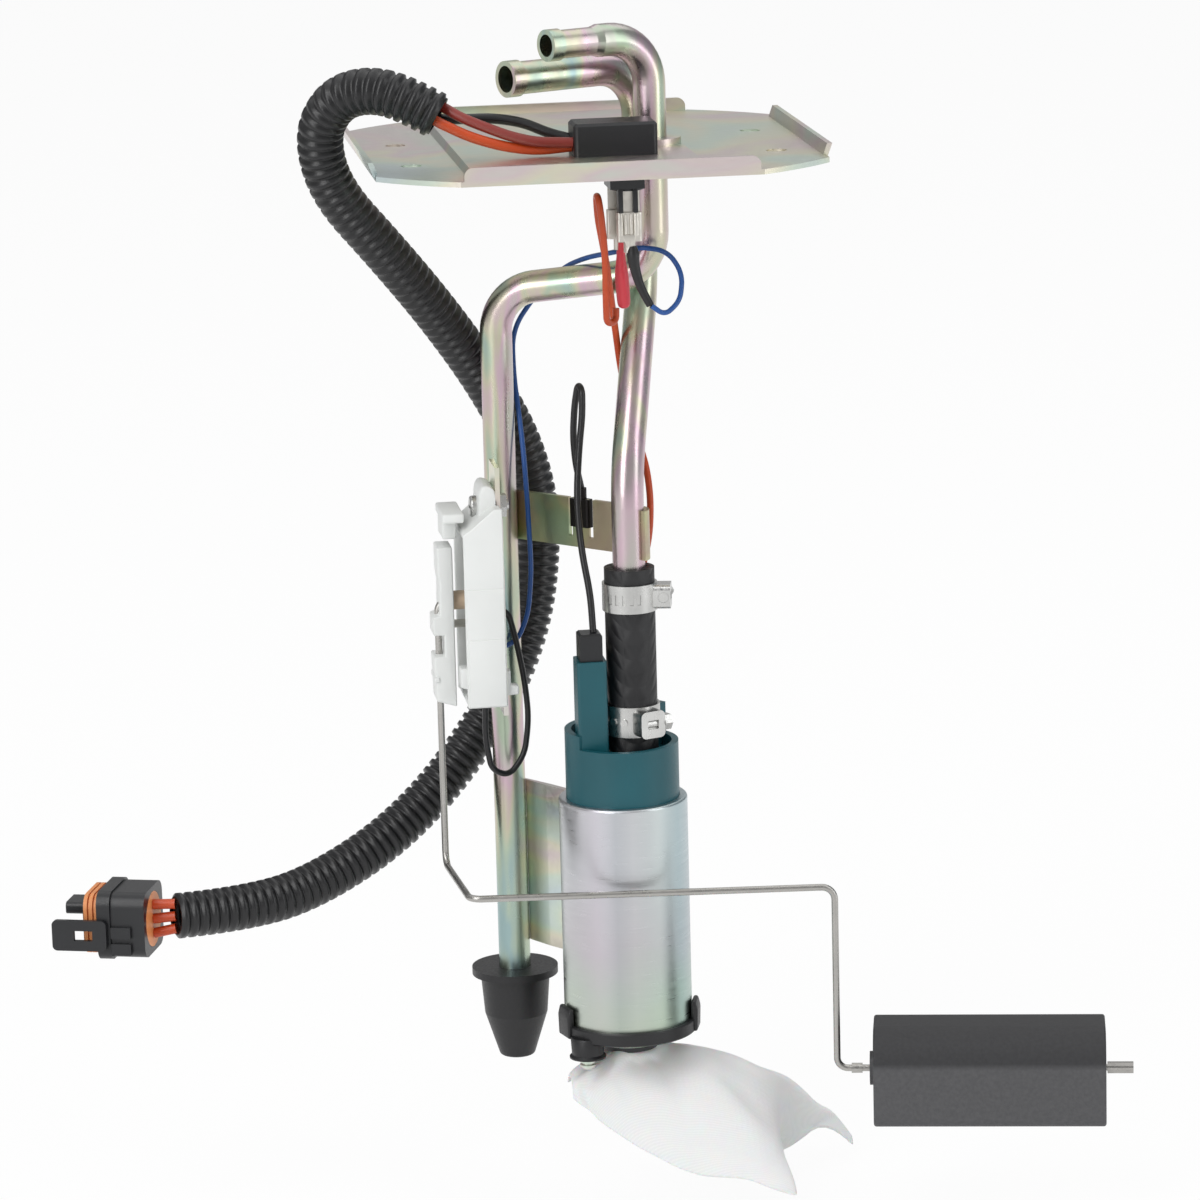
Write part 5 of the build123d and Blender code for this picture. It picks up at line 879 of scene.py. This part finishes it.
# %% Pump's foot
foot_dish = bmesh.new()
dish = [(8.7, -257.3), (13.6, -257.3), (13.6, -259.4), (12.6, -261.2), (8.7, -261.8)]
add_turned(foot_dish, dish, PUMP_AXIS, 96)
finish_piece("foot_dish", foot_dish, can_steel)

# %% [markdown]
# ## Terminals and sleeves
# Under the plate a round black collar and two rails guard the blade. The push-on terminal has
# rolled sides, and its neck goes into a shrink sleeve that follows the crimp's swell.

# %% Terminals
guard = bmesh.new()
add_turned(guard, [(0.5, -6.0), (4.9, -6.0), (5.1, -6.4), (4.7, -7.0), (0.5, -7.0)], (8.3, -38.2), 48)
for left, right in ((4.9, 6.3), (9.2, 10.6)):
    add_block(guard, [(left, -6.2), (right, -6.2), (right, -13.1), (left, -13.1)], -44.2, -40.2, 0.0002)
finish_piece("blade_guard", guard, black_plastic)
rolls = bmesh.new()
for x in (5.5, 10.1):
    add_sleeve(rolls, [(x, -42.4, -13.4), (x, -42.4, -16.5), (x, -42.4, -19.8)], [0.85, 1.05, 0.95], 16)
for x in (7.0, 8.6):
    add_sleeve(rolls, [(x, -42.9, -13.6), (x, -42.9, -16.5), (x, -42.9, -19.4)], [0.35, 0.5, 0.45], 12)
add_block(rolls, [(5.6, -19.4), (10.1, -19.4), (9.3, -23.6), (7.4, -23.6)], -43.0, -41.2, 0.0003)
finish_piece("terminal_rolls", rolls, tinned)

# %% Sleeves
red = bmesh.new()
add_sleeve(red, [(6.5, -35.9, -22.6), (6.4, -35.7, -27.2), (6.5, -35.5, -32.0), (6.8, -35.4, -37.4),
                 (7.0, -35.3, -41.0), (7.05, -35.3, -42.0)], [1.15, 1.35, 1.95, 2.0, 1.75, 0.7])
finish_piece("red_shrink", red, red_sleeve, replaces=["red_sleeve"])
black = bmesh.new()
add_sleeve(black, [(8.9, -42.2, -23.0), (9.0, -42.3, -25.4), (9.4, -42.3, -29.0), (10.9, -42.4, -34.6),
                   (13.6, -42.7, -40.3)], [1.25, 1.85, 1.55, 1.3, 1.15])
finish_piece("black_shrink", black, black_rubber, replaces=["black_sleeve"])

# %% [markdown]
# ## Wires in the conduit's mouth
# Each wire runs on into the conduit, which bends up and away from it.

# %% Wires in the mouth
TAIL_RADIUS = 1.5
for colour, material, places in (
    ("red", red_wire, [(-43.4, -31.9, 18.1), (-48.5, -30.6, 19.6), (-55.5, -28.4, 22.0)]),
    ("orange", orange_wire, [(-44.0, -35.7, 13.5), (-49.5, -33.8, 16.4), (-56.0, -31.2, 19.0)]),
    ("black", black_wire, [(-43.5, -30.0, 14.3), (-49.5, -29.4, 16.6), (-56.0, -27.6, 19.2)]),
):
    tail = bmesh.new()
    add_sleeve(tail, places, [TAIL_RADIUS] * 3)
    finish_piece(colour + "_wire_tail", tail, material)

# %% [markdown]
# ## Floor, backdrop and light
# The module stands over a plain white floor that shows its shadow. Three soft area lamps and a
# pale sky light it: a key from the upper left, a fill from the right and a broad lamp above. The
# sky is uneven from side to side, dimmer in two bands, which gives round metal its streaks.

# %% Floor
FLOOR_Z, FLOOR_HALF, FLOOR_GLOW = -0.312, 12, 0.94
floor_shape = bmesh.new()
bmesh.ops.create_grid(floor_shape, x_segments=1, y_segments=1, size=FLOOR_HALF)
bmesh.ops.translate(floor_shape, verts=floor_shape.verts, vec=(0, 4, FLOOR_Z))
floor_mesh = bpy.data.meshes.new("floor")
floor_shape.to_mesh(floor_mesh)
floor_shape.free()
floor = place_object("floor", floor_mesh)

# %% Floor's paper
floor_material = bpy.data.materials.new("floor_paper")
floor_material.use_nodes = True
floor_tree = floor_material.node_tree
paper = floor_tree.nodes["Principled BSDF"]
paper.inputs["Base Color"].default_value = (0.9, 0.9, 0.9, 1)
paper.inputs["Roughness"].default_value = 0.9
glow = floor_tree.nodes.new("ShaderNodeEmission")
glow.inputs["Strength"].default_value = 1.0
rays = floor_tree.nodes.new("ShaderNodeLightPath")
seen = calculate(floor_tree, "MAXIMUM", rays.outputs["Is Camera Ray"], rays.outputs["Is Glossy Ray"])
blend = floor_tree.nodes.new("ShaderNodeMixShader")
floor_tree.links.new(calculate(floor_tree, "MULTIPLY", seen, FLOOR_GLOW), blend.inputs["Fac"])
floor_tree.links.new(paper.outputs["BSDF"], blend.inputs[1])
floor_tree.links.new(glow.outputs["Emission"], blend.inputs[2])
floor_tree.links.new(blend.outputs["Shader"], floor_tree.nodes["Material Output"].inputs["Surface"])
floor_mesh.materials.append(floor_material)
print("floor at", FLOOR_Z)

# %% Sky
world = bpy.data.worlds.new("studio")
bpy.context.scene.world = world
world.use_nodes = True
sky = world.node_tree.nodes["Background"]
sky_tree = world.node_tree
sky_place = sky_tree.nodes.new("ShaderNodeTexCoord")
from_side = along_axis(sky_tree, sky_place.outputs["Generated"], "X", -1.0, 1.0)
sky_colour = ramp(sky_tree, from_side, [
    (0.0, (1.0, 1.0, 1.0)), (0.22, (1.0, 1.0, 1.0)), (0.30, (0.30, 0.30, 0.32)),
    (0.36, (0.34, 0.34, 0.36)), (0.46, (1.1, 1.1, 1.1)), (0.74, (1.2, 1.2, 1.2)),
    (0.86, (0.5, 0.54, 0.56)), (1.0, (0.9, 0.95, 1.0))])
sky_tree.links.new(sky_colour, sky.inputs["Color"])
SKY_STRENGTH = 0.42
sky.inputs["Strength"].default_value = SKY_STRENGTH
print("sky strength", SKY_STRENGTH)


# %% Lamps
def soft_lamp(name, place, target, width, height, power):
    """A rectangular lamp of so many watts, turned towards a target."""
    lamp = bpy.data.lights.new(name, "AREA")
    lamp.shape = "RECTANGLE"
    lamp.size = width
    lamp.size_y = height
    lamp.energy = power
    aim = (Vector(target) - Vector(place)).to_track_quat("-Z", "Y")
    place_object(name, lamp).matrix_world = Matrix.Translation(place) @ aim.to_matrix().to_4x4()


soft_lamp("key_lamp", (-1.1, -1.2, 1.0), (0, 0, -0.12), 0.8, 2.6, 26)
soft_lamp("fill_lamp", (1.4, -0.9, 0.3), (0, 0, -0.12), 0.6, 2.6, 11)
soft_lamp("top_lamp", (0.1, 0.5, 1.6), (0, 0, -0.1), 2.6, 2.2, 15)
print("lamps:", len(bpy.data.lights))
